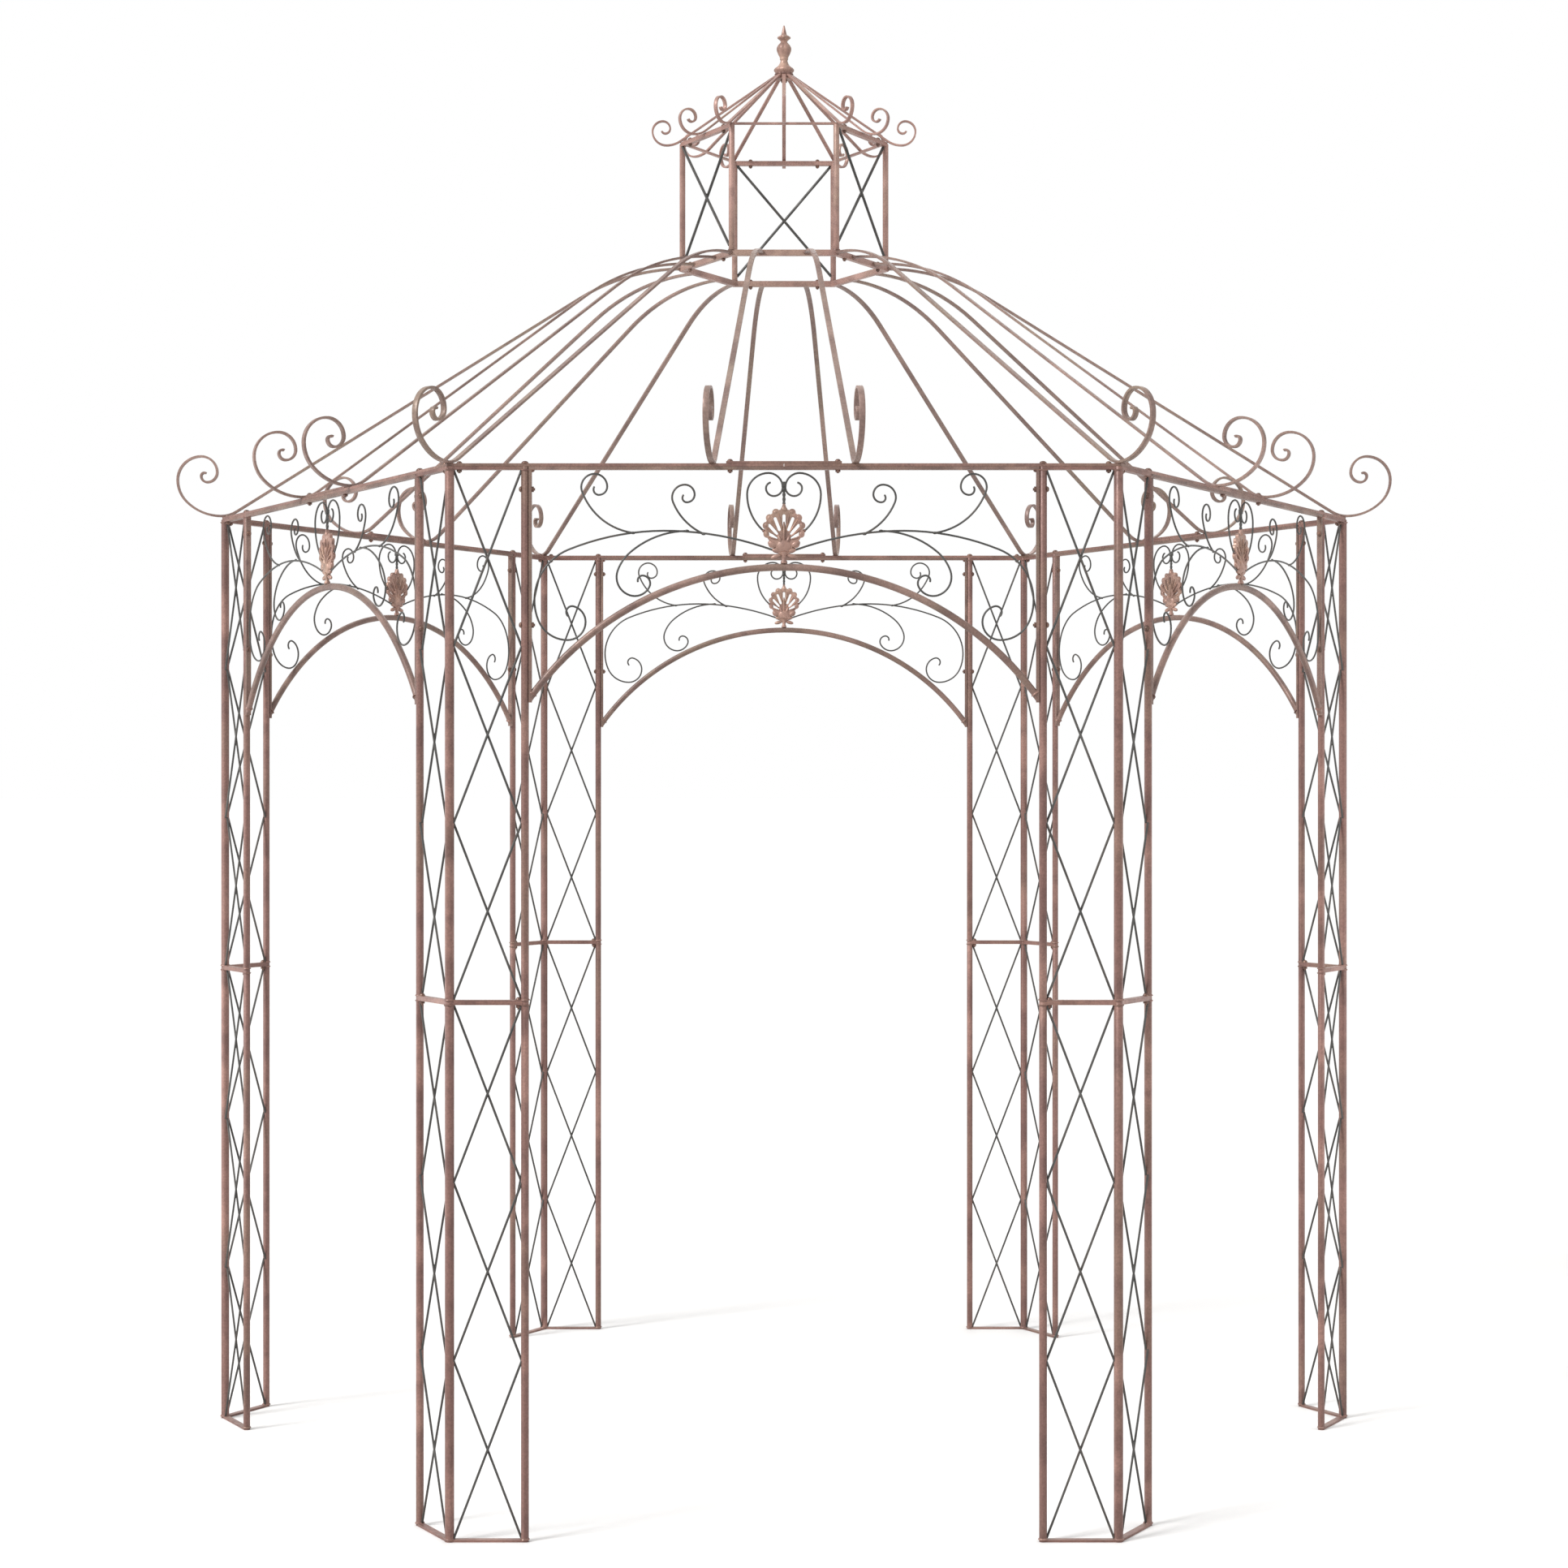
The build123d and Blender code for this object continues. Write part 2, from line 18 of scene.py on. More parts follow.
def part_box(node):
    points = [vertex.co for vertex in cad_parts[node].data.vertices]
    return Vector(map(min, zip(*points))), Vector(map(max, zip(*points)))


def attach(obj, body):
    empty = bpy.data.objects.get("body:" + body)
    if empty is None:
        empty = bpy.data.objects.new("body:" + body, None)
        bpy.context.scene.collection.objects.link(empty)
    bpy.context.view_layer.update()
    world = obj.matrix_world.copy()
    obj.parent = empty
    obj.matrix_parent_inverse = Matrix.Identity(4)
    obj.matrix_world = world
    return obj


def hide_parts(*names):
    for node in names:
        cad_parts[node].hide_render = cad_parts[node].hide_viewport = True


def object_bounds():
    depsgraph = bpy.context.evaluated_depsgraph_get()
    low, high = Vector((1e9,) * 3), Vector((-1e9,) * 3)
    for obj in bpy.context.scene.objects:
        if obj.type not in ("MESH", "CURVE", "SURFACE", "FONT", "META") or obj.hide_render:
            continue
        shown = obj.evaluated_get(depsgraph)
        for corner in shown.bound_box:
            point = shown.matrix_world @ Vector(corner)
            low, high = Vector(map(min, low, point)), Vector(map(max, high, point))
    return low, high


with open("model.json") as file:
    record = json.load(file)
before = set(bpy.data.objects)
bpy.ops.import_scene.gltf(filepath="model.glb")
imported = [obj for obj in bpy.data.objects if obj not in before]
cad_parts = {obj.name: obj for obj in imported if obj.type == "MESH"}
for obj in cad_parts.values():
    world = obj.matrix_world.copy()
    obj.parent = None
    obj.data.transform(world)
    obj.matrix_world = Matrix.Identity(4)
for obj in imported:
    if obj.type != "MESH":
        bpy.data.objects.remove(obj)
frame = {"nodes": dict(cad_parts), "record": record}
CAD_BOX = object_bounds()

SIDES = ("front", "front_right", "back_right", "back", "back_left", "front_left")
CORNERS = ("front_right", "right", "back_right", "back_left", "left", "front_left")
PANELLED_SIDES = (1, 3, 5)
SIXTH = math.tau / 6
UP = Vector((0, 0, 1))
SAME_SPOT = 1e-6
CREASE_ANGLE = 38
WIRE_LAP = 0.9

Size = tuple[float, float, float]
Outline = tuple[tuple[float, float], ...]
Colour = tuple[int, int, int]
Coats = dict[str, Material]

log = logging.getLogger("pavilion")


class Slot(Enum):
    """The record's material slots."""

    BROWN = "brown_paint"
    WIRE = "dark_wire"
    CAST = "cast_metal"


# ---- Bench tools: meshes ----


def turned(step: float) -> Matrix:
    """The turn about the vertical axis that carries the front to a later side."""
    return Matrix.Rotation(step * SIXTH, 4, "Z")


FLIP_X = Matrix.Scale(-1, 4, (1, 0, 0))
FLIP_ROUND_CORNER = turned(1) @ FLIP_X


def facing(centre: Vector, direction: Vector) -> Matrix:
    """The place of a part at a centre whose own Z axis is to point along a direction."""
    return Matrix.Translation(centre) @ direction.to_track_quat("Z", "Y").to_matrix().to_4x4()


def along(heading: float) -> Vector:
    """The direction of a heading, in radians, in the front's upright plane."""
    return Vector((math.cos(heading), 0, math.sin(heading)))


def of_kind(geometry: Iterable, kind: type) -> list:
    """The vertices, edges or faces among mixed mesh geometry."""
    return [part for part in geometry if isinstance(part, kind)]


def edges_round(verts: Iterable[BMVert]) -> list[BMEdge]:
    """The edges that meet any of some vertices, each once and in a fixed order."""
    return list(dict.fromkeys(edge for vert in verts for edge in vert.link_edges))


def spun_profile(
    bm: BMesh, points: Sequence[tuple[float, float]], place: Matrix, sides: int
) -> list[BMVert]:
    """Spins a profile into a closed turned shape.

    Args:
        bm: The mesh that it joins.
        points: (radius, height) from one pole to the other.
        place: Where the shape's axis goes.
        sides: Steps round the axis.

    Returns:
        The shape's vertices.
    """
    before = set(bm.verts)
    line = [bmesh.ops.create_vert(bm, co=(radius, 0, height))["vert"][0] for radius, height in points]
    edges = [bm.edges.new(pair) for pair in zip(line, line[1:])]
    bmesh.ops.spin(
        bm, geom=line + edges, cent=(0, 0, 0), axis=UP, angle=math.tau, steps=sides, use_merge=True
    )
    made = [vert for vert in bm.verts if vert not in before]
    bmesh.ops.remove_doubles(bm, verts=made, dist=SAME_SPOT)
    made = [vert for vert in bm.verts if vert not in before]
    bmesh.ops.transform(bm, matrix=place, verts=made)
    return made


def straight_wire(
    bm: BMesh, start: Vector, end: Vector, radius: float, sides: int = 8
) -> None:
    """Adds a straight round wire.

    Args:
        bm: The mesh that it joins.
        start: The centre of one end.
        end: The centre of the other end.
        radius: The wire's radius.
        sides: Sides of its section.
    """
    run = end - start
    bmesh.ops.create_cone(
        bm, cap_ends=True, segments=sides, radius1=radius, radius2=radius, depth=run.length,
        matrix=facing((start + end) / 2, run),
    )


def swollen(bm: BMesh, place: Matrix, size: Size, sides: int = 12) -> None:
    """Adds a rounded lump, given its place, half its own X, Y and Z sizes and its segments round Z."""
    scaled = place @ Matrix.Diagonal((*size, 1))
    bmesh.ops.create_uvsphere(bm, u_segments=sides, v_segments=sides * 2 // 3, radius=1, matrix=scaled)


def crossed_wires(bm: BMesh, low: Vector, high: Vector, radius: float, weld: Size) -> None:
    """Strings two wires across each other, one lying over the other, with a weld where they cross.

    Args:
        bm: The mesh that they join.
        low: The lower left corner of the bay that they cross.
        high: Its upper right corner.
        radius: The wires' radius.
        weld: Half the weld's size along X, Y and Z.
    """
    over = Vector((0, WIRE_LAP * radius, 0))
    straight_wire(bm, low + over, high + over, radius)
    straight_wire(bm, Vector((low.x, low.y, high.z)) - over, Vector((high.x, high.y, low.z)) - over, radius)
    swollen(bm, Matrix.Translation((low + high) / 2), weld, sides=8)


def eased(bm: BMesh, verts: Iterable[BMVert], width: float, segments: int) -> None:
    """Bevels every edge that meets some vertices."""
    bmesh.ops.bevel(
        bm, geom=edges_round(verts), offset=width, affect="EDGES", segments=segments, profile=0.5, material=-1
    )


def add_mirrored(bm: BMesh, mirror: Matrix) -> None:
    """Adds the mirror image of all that a mesh holds.

    Args:
        bm: The mesh.
        mirror: The mirroring matrix.
    """
    copied = bmesh.ops.duplicate(bm, geom=bm.verts[:] + bm.edges[:] + bm.faces[:])["geom"]
    bmesh.ops.transform(bm, matrix=mirror, verts=of_kind(copied, BMVert))
    bmesh.ops.reverse_faces(bm, faces=of_kind(copied, BMFace))


def stand_on(bm: BMesh, steps: Sequence[int] = range(len(SIDES))) -> None:
    """Takes what stands at the front to each of some sides, or to all six.

    Args:
        bm: The mesh.
        steps: The sides, counted from the front.
    """
    first = bm.verts[:] + bm.edges[:] + bm.faces[:]
    for step in steps[1:]:
        copied = bmesh.ops.duplicate(bm, geom=first)["geom"]
        bmesh.ops.transform(bm, matrix=turned(step), verts=of_kind(copied, BMVert))
    bmesh.ops.transform(bm, matrix=turned(steps[0]), verts=of_kind(first, BMVert))


def finished_piece(
    name: str, bm: BMesh, coat: Material, stands_for: Sequence[str] = ()
) -> None:
    """Turns a worked mesh into a smooth, dressed piece that rides with the pavilion.

    Args:
        name: The piece's name.
        bm: Its mesh, in place. It is freed.
        coat: Its material.
        stands_for: CAD nodes that the piece is shown in place of.
    """
    bmesh.ops.recalc_face_normals(bm, faces=bm.faces)
    mesh = bpy.data.meshes.new(name)
    bm.to_mesh(mesh)
    bm.free()
    mesh.shade_smooth()
    mesh.set_sharp_from_angle(angle=math.radians(CREASE_ANGLE))
    mesh.materials.append(coat)
    piece = bpy.data.objects.new(name, mesh)
    bpy.context.scene.collection.objects.link(piece)
    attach(piece, "root")
    if stands_for:
        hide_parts(*stands_for)
    log.info("%s: %d faces", name, len(mesh.polygons))


@dataclass(frozen=True)
class BentWire:
    """A round wire bent in an upright plane that faces the front.

    x and z are its start, heading is in degrees from +X towards +Z, and each bend is a tangent arc
    (radius, turn in degrees), where a positive turn is to the left.
    """

    x: float
    z: float
    heading: float
    bends: tuple[tuple[float, float], ...]
    sag: float = 0.00012
    tip_taper: float = 0.55

    def form(self, bm: BMesh, radius: float, sides: int = 8) -> None:
        """Bends the wire by spinning its section round each arc in turn.

        Args:
            bm: The mesh that the wire joins.
            radius: The wire's radius.
            sides: Sides of its section.
        """
        heading = math.radians(self.heading)
        here = Vector((self.x, 0, self.z))
        start = facing(here, along(heading))
        ring = edges_round(bmesh.ops.create_circle(bm, segments=sides, radius=radius, matrix=start)["verts"])
        bmesh.ops.contextual_create(bm, geom=ring)
        for bend_radius, degrees in self.bends:
            turn = math.radians(degrees)
            centre = here + along(heading + math.pi / 2) * math.copysign(bend_radius, turn)
            step = 2 * math.acos(1 - self.sag / bend_radius)
            steps = max(2, math.ceil(abs(turn) / step))
            spun = bmesh.ops.spin(bm, geom=ring, cent=centre, axis=(0, -1, 0), angle=turn, steps=steps)
            ring = of_kind(spun["geom_last"], BMEdge)
            here = centre + Matrix.Rotation(turn, 3, (0, -1, 0)) @ (here - centre)
            heading += turn
        self.round_tip(bm, ring, here + along(heading) * radius / 2, along(heading) * radius / 2)

    def round_tip(
        self, bm: BMesh, ring: list[BMEdge], tip: Vector, reach: Vector
    ) -> None:
        """Draws the wire's last ring in to a rounded tip.

        Args:
            bm: The wire's mesh.
            ring: The edges of its last ring.
            tip: The centre of the tip.
            reach: From the last ring's centre to the tip's.
        """
        grown = bmesh.ops.extrude_edge_only(bm, edges=ring)["geom"]
        verts = of_kind(grown, BMVert)
        bmesh.ops.translate(bm, vec=reach, verts=verts)
        bmesh.ops.scale(bm, vec=(self.tip_taper,) * 3, space=Matrix.Translation(-tip), verts=verts)
        bmesh.ops.contextual_create(bm, geom=of_kind(grown, BMEdge))


# ---- Bench tools: shader nodes ----


def srgb(red: int, green: int, blue: int) -> tuple[float, float, float, float]:
    """A colour as Blender's linear values, from the usual 0 to 255 scale."""
    return (*(channel_to_linear(part / 255) for part in (red, green, blue)), 1.0)


def channel_to_linear(value: float) -> float:
    """One colour channel, from display to linear."""
    return value / 12.92 if value <= 0.04045 else ((value + 0.055) / 1.055) ** 2.4


@dataclass
class NodeBench:
    """Lays out shader nodes in one tree.

    The shift way keeps two noises at the same place from looking alike.
    """

    tree: NodeTree
    shift_way: Size = (1.0, 1.7, 0.6)

    def feed(self, node: Node, inputs: dict) -> Node:
        """Sets a node's inputs.

        Args:
            node: The node.
            inputs: Values for its input sockets, or sockets to link to them.

        Returns:
            The node.
        """
        for key, value in inputs.items():
            if isinstance(value, NodeSocket):
                self.tree.links.new(value, node.inputs[key])
            else:
                node.inputs[key].default_value = value
        return node

    def add(self, kind: str, inputs: dict | None = None, **settings: object) -> Node:
        """Adds a node.

        Args:
            kind: The node's type, without its ShaderNode prefix.
            inputs: Values for its input sockets, or sockets to link to them.
            settings: Values for the node's own properties.

        Returns:
            The node.
        """
        node = self.tree.nodes.new("ShaderNode" + kind)
        for key, value in settings.items():
            setattr(node, key, value)
        return self.feed(node, inputs or {})

    def math(
        self, operation: str, first: object, second: object, clamp: bool = False
    ) -> NodeSocket:
        """Adds a Math node and gives its result."""
        return self.add("Math", {0: first, 1: second}, operation=operation, use_clamp=clamp).outputs[0]

    def mix(self, factor: object, first: object, second: object, blend: str = "MIX") -> NodeSocket:
        """Adds a colour Mix node and gives its result."""
        values = {0: factor, 6: first, 7: second}
        return self.add("Mix", values, data_type="RGBA", blend_type=blend).outputs[2]

    def noise(
        self, vector: object, scale: object, detail: float, shift: float = 0.0
    ) -> NodeSocket:
        """Adds a Noise node on shifted coordinates.

        Args:
            vector: The coordinates.
            scale: The noise's scale.
            detail: How many finer layers it has.
            shift: How far the coordinates are shifted along the shift way.

        Returns:
            The noise's value.
        """
        away = tuple(shift * part for part in self.shift_way)
        moved = self.add("VectorMath", {0: vector, 1: away}, operation="ADD")
        return self.add("TexNoise", {"Vector": moved.outputs[0], "Scale": scale, "Detail": detail}).outputs[0]

    def between(self, value: object, low: float, high: float) -> NodeSocket:
        """Stretches a value so that low becomes 0 and high becomes 1, with a smooth step."""
        values = {"Value": value, "From Min": low, "From Max": high}
        return self.add("MapRange", values, interpolation_type="SMOOTHSTEP").outputs[0]


def effect_group(
    name: str, inputs: dict[str, tuple[str, object]], outputs: dict[str, str]
) -> tuple[NodeBench, Callable[[str], NodeSocket], Node]:
    """Starts a shader node group with named sockets.

    Args:
        name: The group's name.
        inputs: Each input's socket type and default.
        outputs: Each output's socket type.

    Returns:
        The bench for its tree, a lookup of its inputs by name, and its output node.
    """
    tree = bpy.data.node_groups.new(name, "ShaderNodeTree")
    for label, (kind, default) in inputs.items():
        socket = tree.interface.new_socket(name=label, in_out="INPUT", socket_type="NodeSocket" + kind)
        if default is not None:
            socket.default_value = default
    for label, kind in outputs.items():
        tree.interface.new_socket(name=label, in_out="OUTPUT", socket_type="NodeSocket" + kind)
    given = tree.nodes.new("NodeGroupInput")
    return NodeBench(tree), given.outputs.__getitem__, tree.nodes.new("NodeGroupOutput")


@dataclass
class EffectLibrary:
    """The shader groups that the finishes share, each built once.

    Each band is the stretch of a noise's values over which a patch fades in.
    """

    light_band: tuple[float, float] = (0.50, 0.68)
    shade_band: tuple[float, float] = (0.46, 0.66)
    tan_band: tuple[float, float] = (0.50, 0.64)
    speck_band: tuple[float, float] = (0.2, 0.8)
    speck_low: float = 0.80
    speck_high: float = 1.16
    edge_reach: float = 0.0016
    edge_band: tuple[float, float] = (0.02, 0.22)
    rub_band: tuple[float, float] = (0.42, 0.62)
    gloss_band: tuple[float, float] = (0.3, 0.7)
    upward_band: tuple[float, float] = (0.5, 1.0)
    dust_band: tuple[float, float] = (0.35, 0.7)

    def mottle(self) -> NodeTree:
        """Builds sponged patches of four coat colours with a fine grain of light and dark.

        Returns:
            The group, with a Colour.
        """
        colours = {label: ("Color", (0.5, 0.5, 0.5, 1)) for label in ("Base", "Light", "Shade", "Tan")}
        sockets = {"Vector": ("Vector", None), "Scale": ("Float", 6.0), "Contrast": ("Float", 0.8), **colours}
        bench, given, result = effect_group("coat_mottle", sockets, {"Colour": "Color"})
        vector, scale = given("Vector"), given("Scale")
        patches = (
            ("Tan", 0.6, 2, 23.9, self.tan_band),
            ("Light", 1.0, 3, 3.1, self.light_band),
            ("Shade", 2.3, 4, 11.7, self.shade_band),
        )
        colour = given("Base")
        for label, finer, detail, shift, band in patches:
            sponged = bench.noise(vector, bench.math("MULTIPLY", scale, finer), detail, shift)
            cover = bench.math("MULTIPLY", bench.between(sponged, *band), given("Contrast"))
            colour = bench.mix(cover, colour, given(label))
        grain = bench.noise(vector, bench.math("MULTIPLY", scale, 40), detail=3, shift=5.3)
        low, high = ((level,) * 3 + (1,) for level in (self.speck_low, self.speck_high))
        speck = bench.mix(bench.between(grain, *self.speck_band), low, high)
        bench.feed(result, {"Colour": bench.mix(1.0, colour, speck, "MULTIPLY")})
        return bench.tree

    def edge_wear(self) -> NodeTree:
        """Builds a mask of rubbed edges, broken up so that the rubbing comes and goes.

        Returns:
            The group, with a Mask.
        """
        sockets = {"Vector": ("Vector", None), "Amount": ("Float", 0.6)}
        bench, given, result = effect_group("edge_wear", sockets, {"Mask": "Float"})
        rounded = bench.add("Bevel", {"Radius": self.edge_reach}, samples=4).outputs[0]
        flat = bench.add("NewGeometry").outputs["Normal"]
        alike = bench.add("VectorMath", {0: rounded, 1: flat}, operation="DOT_PRODUCT").outputs["Value"]
        edge = bench.between(bench.math("SUBTRACT", 1.0, alike), *self.edge_band)
        broken = bench.between(bench.noise(given("Vector"), 90.0, detail=4, shift=7.7), *self.rub_band)
        mask = bench.math("MULTIPLY", bench.math("MULTIPLY", edge, broken), given("Amount"), clamp=True)
        bench.feed(result, {"Mask": mask})
        return bench.tree

    def powder_grain(self) -> NodeTree:
        """Builds the fine orange peel of a baked powder coat.

        Returns:
            The group, with a Height and a Gloss.
        """
        sockets = {"Vector": ("Vector", None), "Scale": ("Float", 700.0)}
        bench, given, result = effect_group("powder_grain", sockets, {"Height": "Float", "Gloss": "Float"})
        peel = bench.noise(given("Vector"), given("Scale"), detail=2, shift=1.9)
        runs = bench.noise(given("Vector"), bench.math("MULTIPLY", given("Scale"), 0.12), detail=3, shift=8.4)
        height = bench.math("MULTIPLY", bench.math("ADD", peel, runs), 0.5)
        bench.feed(result, {"Height": height, "Gloss": bench.between(runs, *self.gloss_band)})
        return bench.tree

    def settled_dust(self) -> NodeTree:
        """Builds a mask of pale dust on what faces up.

        Returns:
            The group, with a Mask.
        """
        sockets = {"Vector": ("Vector", None), "Amount": ("Float", 0.3)}
        bench, given, result = effect_group("settled_dust", sockets, {"Mask": "Float"})
        normal = bench.add("NewGeometry").outputs["Normal"]
        upward = bench.between(bench.add("SeparateXYZ", {0: normal}).outputs["Z"], *self.upward_band)
        patches = bench.between(bench.noise(given("Vector"), 14.0, detail=4, shift=2.2), *self.dust_band)
        mask = bench.math("MULTIPLY", bench.math("MULTIPLY", upward, patches), given("Amount"), clamp=True)
        bench.feed(result, {"Mask": mask})
        return bench.tree

    def __post_init__(self) -> None:
        """Builds the groups and keeps them by name."""
        makers = (self.mottle, self.edge_wear, self.powder_grain, self.settled_dust)
        self.groups = {tree.name: tree for tree in (make() for make in makers)}

    def place(self, bench: NodeBench, name: str, inputs: dict) -> Node:
        """Puts one of the groups into a material.

        Args:
            bench: The material's bench.
            name: The group's name.
            inputs: The material's own values for the group.

        Returns:
            The group's node.
        """
        node = bench.tree.nodes.new("ShaderNodeGroup")
        node.node_tree = self.groups[name]
        return bench.feed(node, inputs)


# ---- Finishes ----


@dataclass(frozen=True)
class MetalCoat:
    """A baked coat over steel or a casting, sponged with patina and rubbed at its edges."""

    name: str
    base: Colour
    light: Colour
    shade: Colour
    tan: Colour
    worn: Colour = (178, 134, 108)
    dust: Colour = (176, 162, 150)
    patch_scale: float = 6.0
    contrast: float = 0.62
    wear: float = 0.55
    dust_amount: float = 0.22
    metallic: float = 0.18
    roughness: float = 0.46
    gloss_spread: float = 0.16
    grain_scale: float = 700.0
    grain_depth: float = 0.35
    sheen_coat: float = 0.08
    shine: float = 0.28
    worn_polish: float = 0.12
    dust_dulling: float = 0.3
    bare_metal: float = 0.45
    grain_height: float = 0.0004
    coat_roughness: float = 0.28

    def material(self, effects: EffectLibrary) -> Material:
        """Builds the coat's material.

        Args:
            effects: The shared shader groups.

        Returns:
            The material.
        """
        made = bpy.data.materials.new(self.name)
        made.use_nodes = True
        bench = NodeBench(made.node_tree)
        vector = bench.add("TexCoord").outputs["Object"]
        patches = {"Base": self.base, "Light": self.light, "Shade": self.shade, "Tan": self.tan}
        values = {label: srgb(*colour) for label, colour in patches.items()}
        values.update(Vector=vector, Scale=self.patch_scale, Contrast=self.contrast)
        colour = effects.place(bench, "coat_mottle", values).outputs["Colour"]
        worn, dust = (
            effects.place(bench, name, {"Vector": vector, "Amount": amount}).outputs["Mask"]
            for name, amount in (("edge_wear", self.wear), ("settled_dust", self.dust_amount))
        )
        grain = effects.place(bench, "powder_grain", {"Vector": vector, "Scale": self.grain_scale})
        colour = bench.mix(worn, colour, srgb(*self.worn))
        uneven = bench.math("MULTIPLY", grain.outputs["Gloss"], self.gloss_spread)
        rough = bench.math("ADD", uneven, self.roughness - self.gloss_spread / 2)
        rough = bench.math("SUBTRACT", rough, bench.math("MULTIPLY", worn, self.worn_polish))
        rough = bench.math("ADD", rough, bench.math("MULTIPLY", dust, self.dust_dulling), clamp=True)
        metal = bench.math("ADD", bench.math("MULTIPLY", worn, self.bare_metal), self.metallic, clamp=True)
        height = grain.outputs["Height"]
        relief = {"Height": height, "Strength": self.grain_depth, "Distance": self.grain_height}
        bench.feed(made.node_tree.nodes["Principled BSDF"], {
            "Base Color": bench.mix(dust, colour, srgb(*self.dust)),
            "Roughness": rough,
            "Metallic": metal,
            "Normal": bench.add("Bump", relief).outputs[0],
            "Coat Weight": self.sheen_coat,
            "Coat Roughness": self.coat_roughness,
            "Specular IOR Level": self.shine,
        })
        return made


ANTIQUE_BROWN = MetalCoat(
    name="antique_brown_columns", base=(114, 85, 78), light=(144, 111, 101), shade=(91, 67, 63),
    tan=(113, 92, 80),
)
FINISHES = {
    "columns": ANTIQUE_BROWN,
    "arches": replace(
        ANTIQUE_BROWN, name="antique_brown_arches", base=(111, 89, 81), light=(137, 112, 103),
        shade=(91, 72, 68), tan=(111, 95, 83), patch_scale=8.0,
    ),
    "eaves": replace(ANTIQUE_BROWN, name="antique_brown_eaves", base=(119, 91, 83), patch_scale=5.0),
    "rafters": replace(
        ANTIQUE_BROWN, name="antique_brown_rafters", base=(123, 102, 94), light=(147, 122, 113),
        shade=(101, 81, 77), tan=(126, 110, 96), patch_scale=4.5,
    ),
    "cupola": replace(
        ANTIQUE_BROWN, name="antique_brown_cupola", base=(145, 114, 105), light=(173, 140, 130),
        shade=(120, 94, 88), tan=(145, 123, 109), patch_scale=9.0,
    ),
    "wires": MetalCoat(
        name="dark_wire_coat", base=(66, 65, 63), light=(84, 82, 79), shade=(50, 49, 48), tan=(76, 70, 65),
        patch_scale=12.0, wear=0.0, dust_amount=0.1, metallic=0.2, grain_depth=0.2,
    ),
    "castings": replace(
        ANTIQUE_BROWN, name="antique_brown_castings", base=(146, 116, 105), light=(180, 148, 132),
        shade=(110, 87, 80), tan=(143, 121, 106), patch_scale=22.0, wear=0.8, grain_scale=320.0,
        grain_depth=0.6, metallic=0.3,
    ),
    "welds": replace(
        ANTIQUE_BROWN, name="antique_brown_welds", base=(114, 86, 78), patch_scale=30.0, grain_scale=420.0,
        grain_depth=0.7,
    ),
    "fasteners": MetalCoat(
        name="darkened_fasteners", base=(100, 75, 66), light=(124, 96, 84), shade=(78, 58, 53),
        tan=(100, 82, 70), patch_scale=40.0, wear=0.9, worn=(160, 128, 108), metallic=0.4, roughness=0.4,
        grain_depth=0.2,
    ),
}


@dataclass(frozen=True)
class StudioPaint:
    """The matt pale paint of the studio floor."""

    name: str = "pale_studio_floor"
    tone: Colour = (208, 207, 206)
    roughness: float = 0.7
    uneven_scale: float = 3.0
    unevenness: float = 0.1

    def material(self) -> Material:
        """Builds the paint's material, with a faint unevenness in its gloss.

        Returns:
            The material.
        """
        made = bpy.data.materials.new(self.name)
        made.use_nodes = True
        bench = NodeBench(made.node_tree)
        patches = bench.noise(bench.add("TexCoord").outputs["Object"], self.uneven_scale, detail=4)
        rough = bench.math("ADD", bench.math("MULTIPLY", patches, self.unevenness), self.roughness)
        values = {"Roughness": rough, "Base Color": srgb(*self.tone)}
        bench.feed(made.node_tree.nodes["Principled BSDF"], values)
        return made


# ---- Layout ----


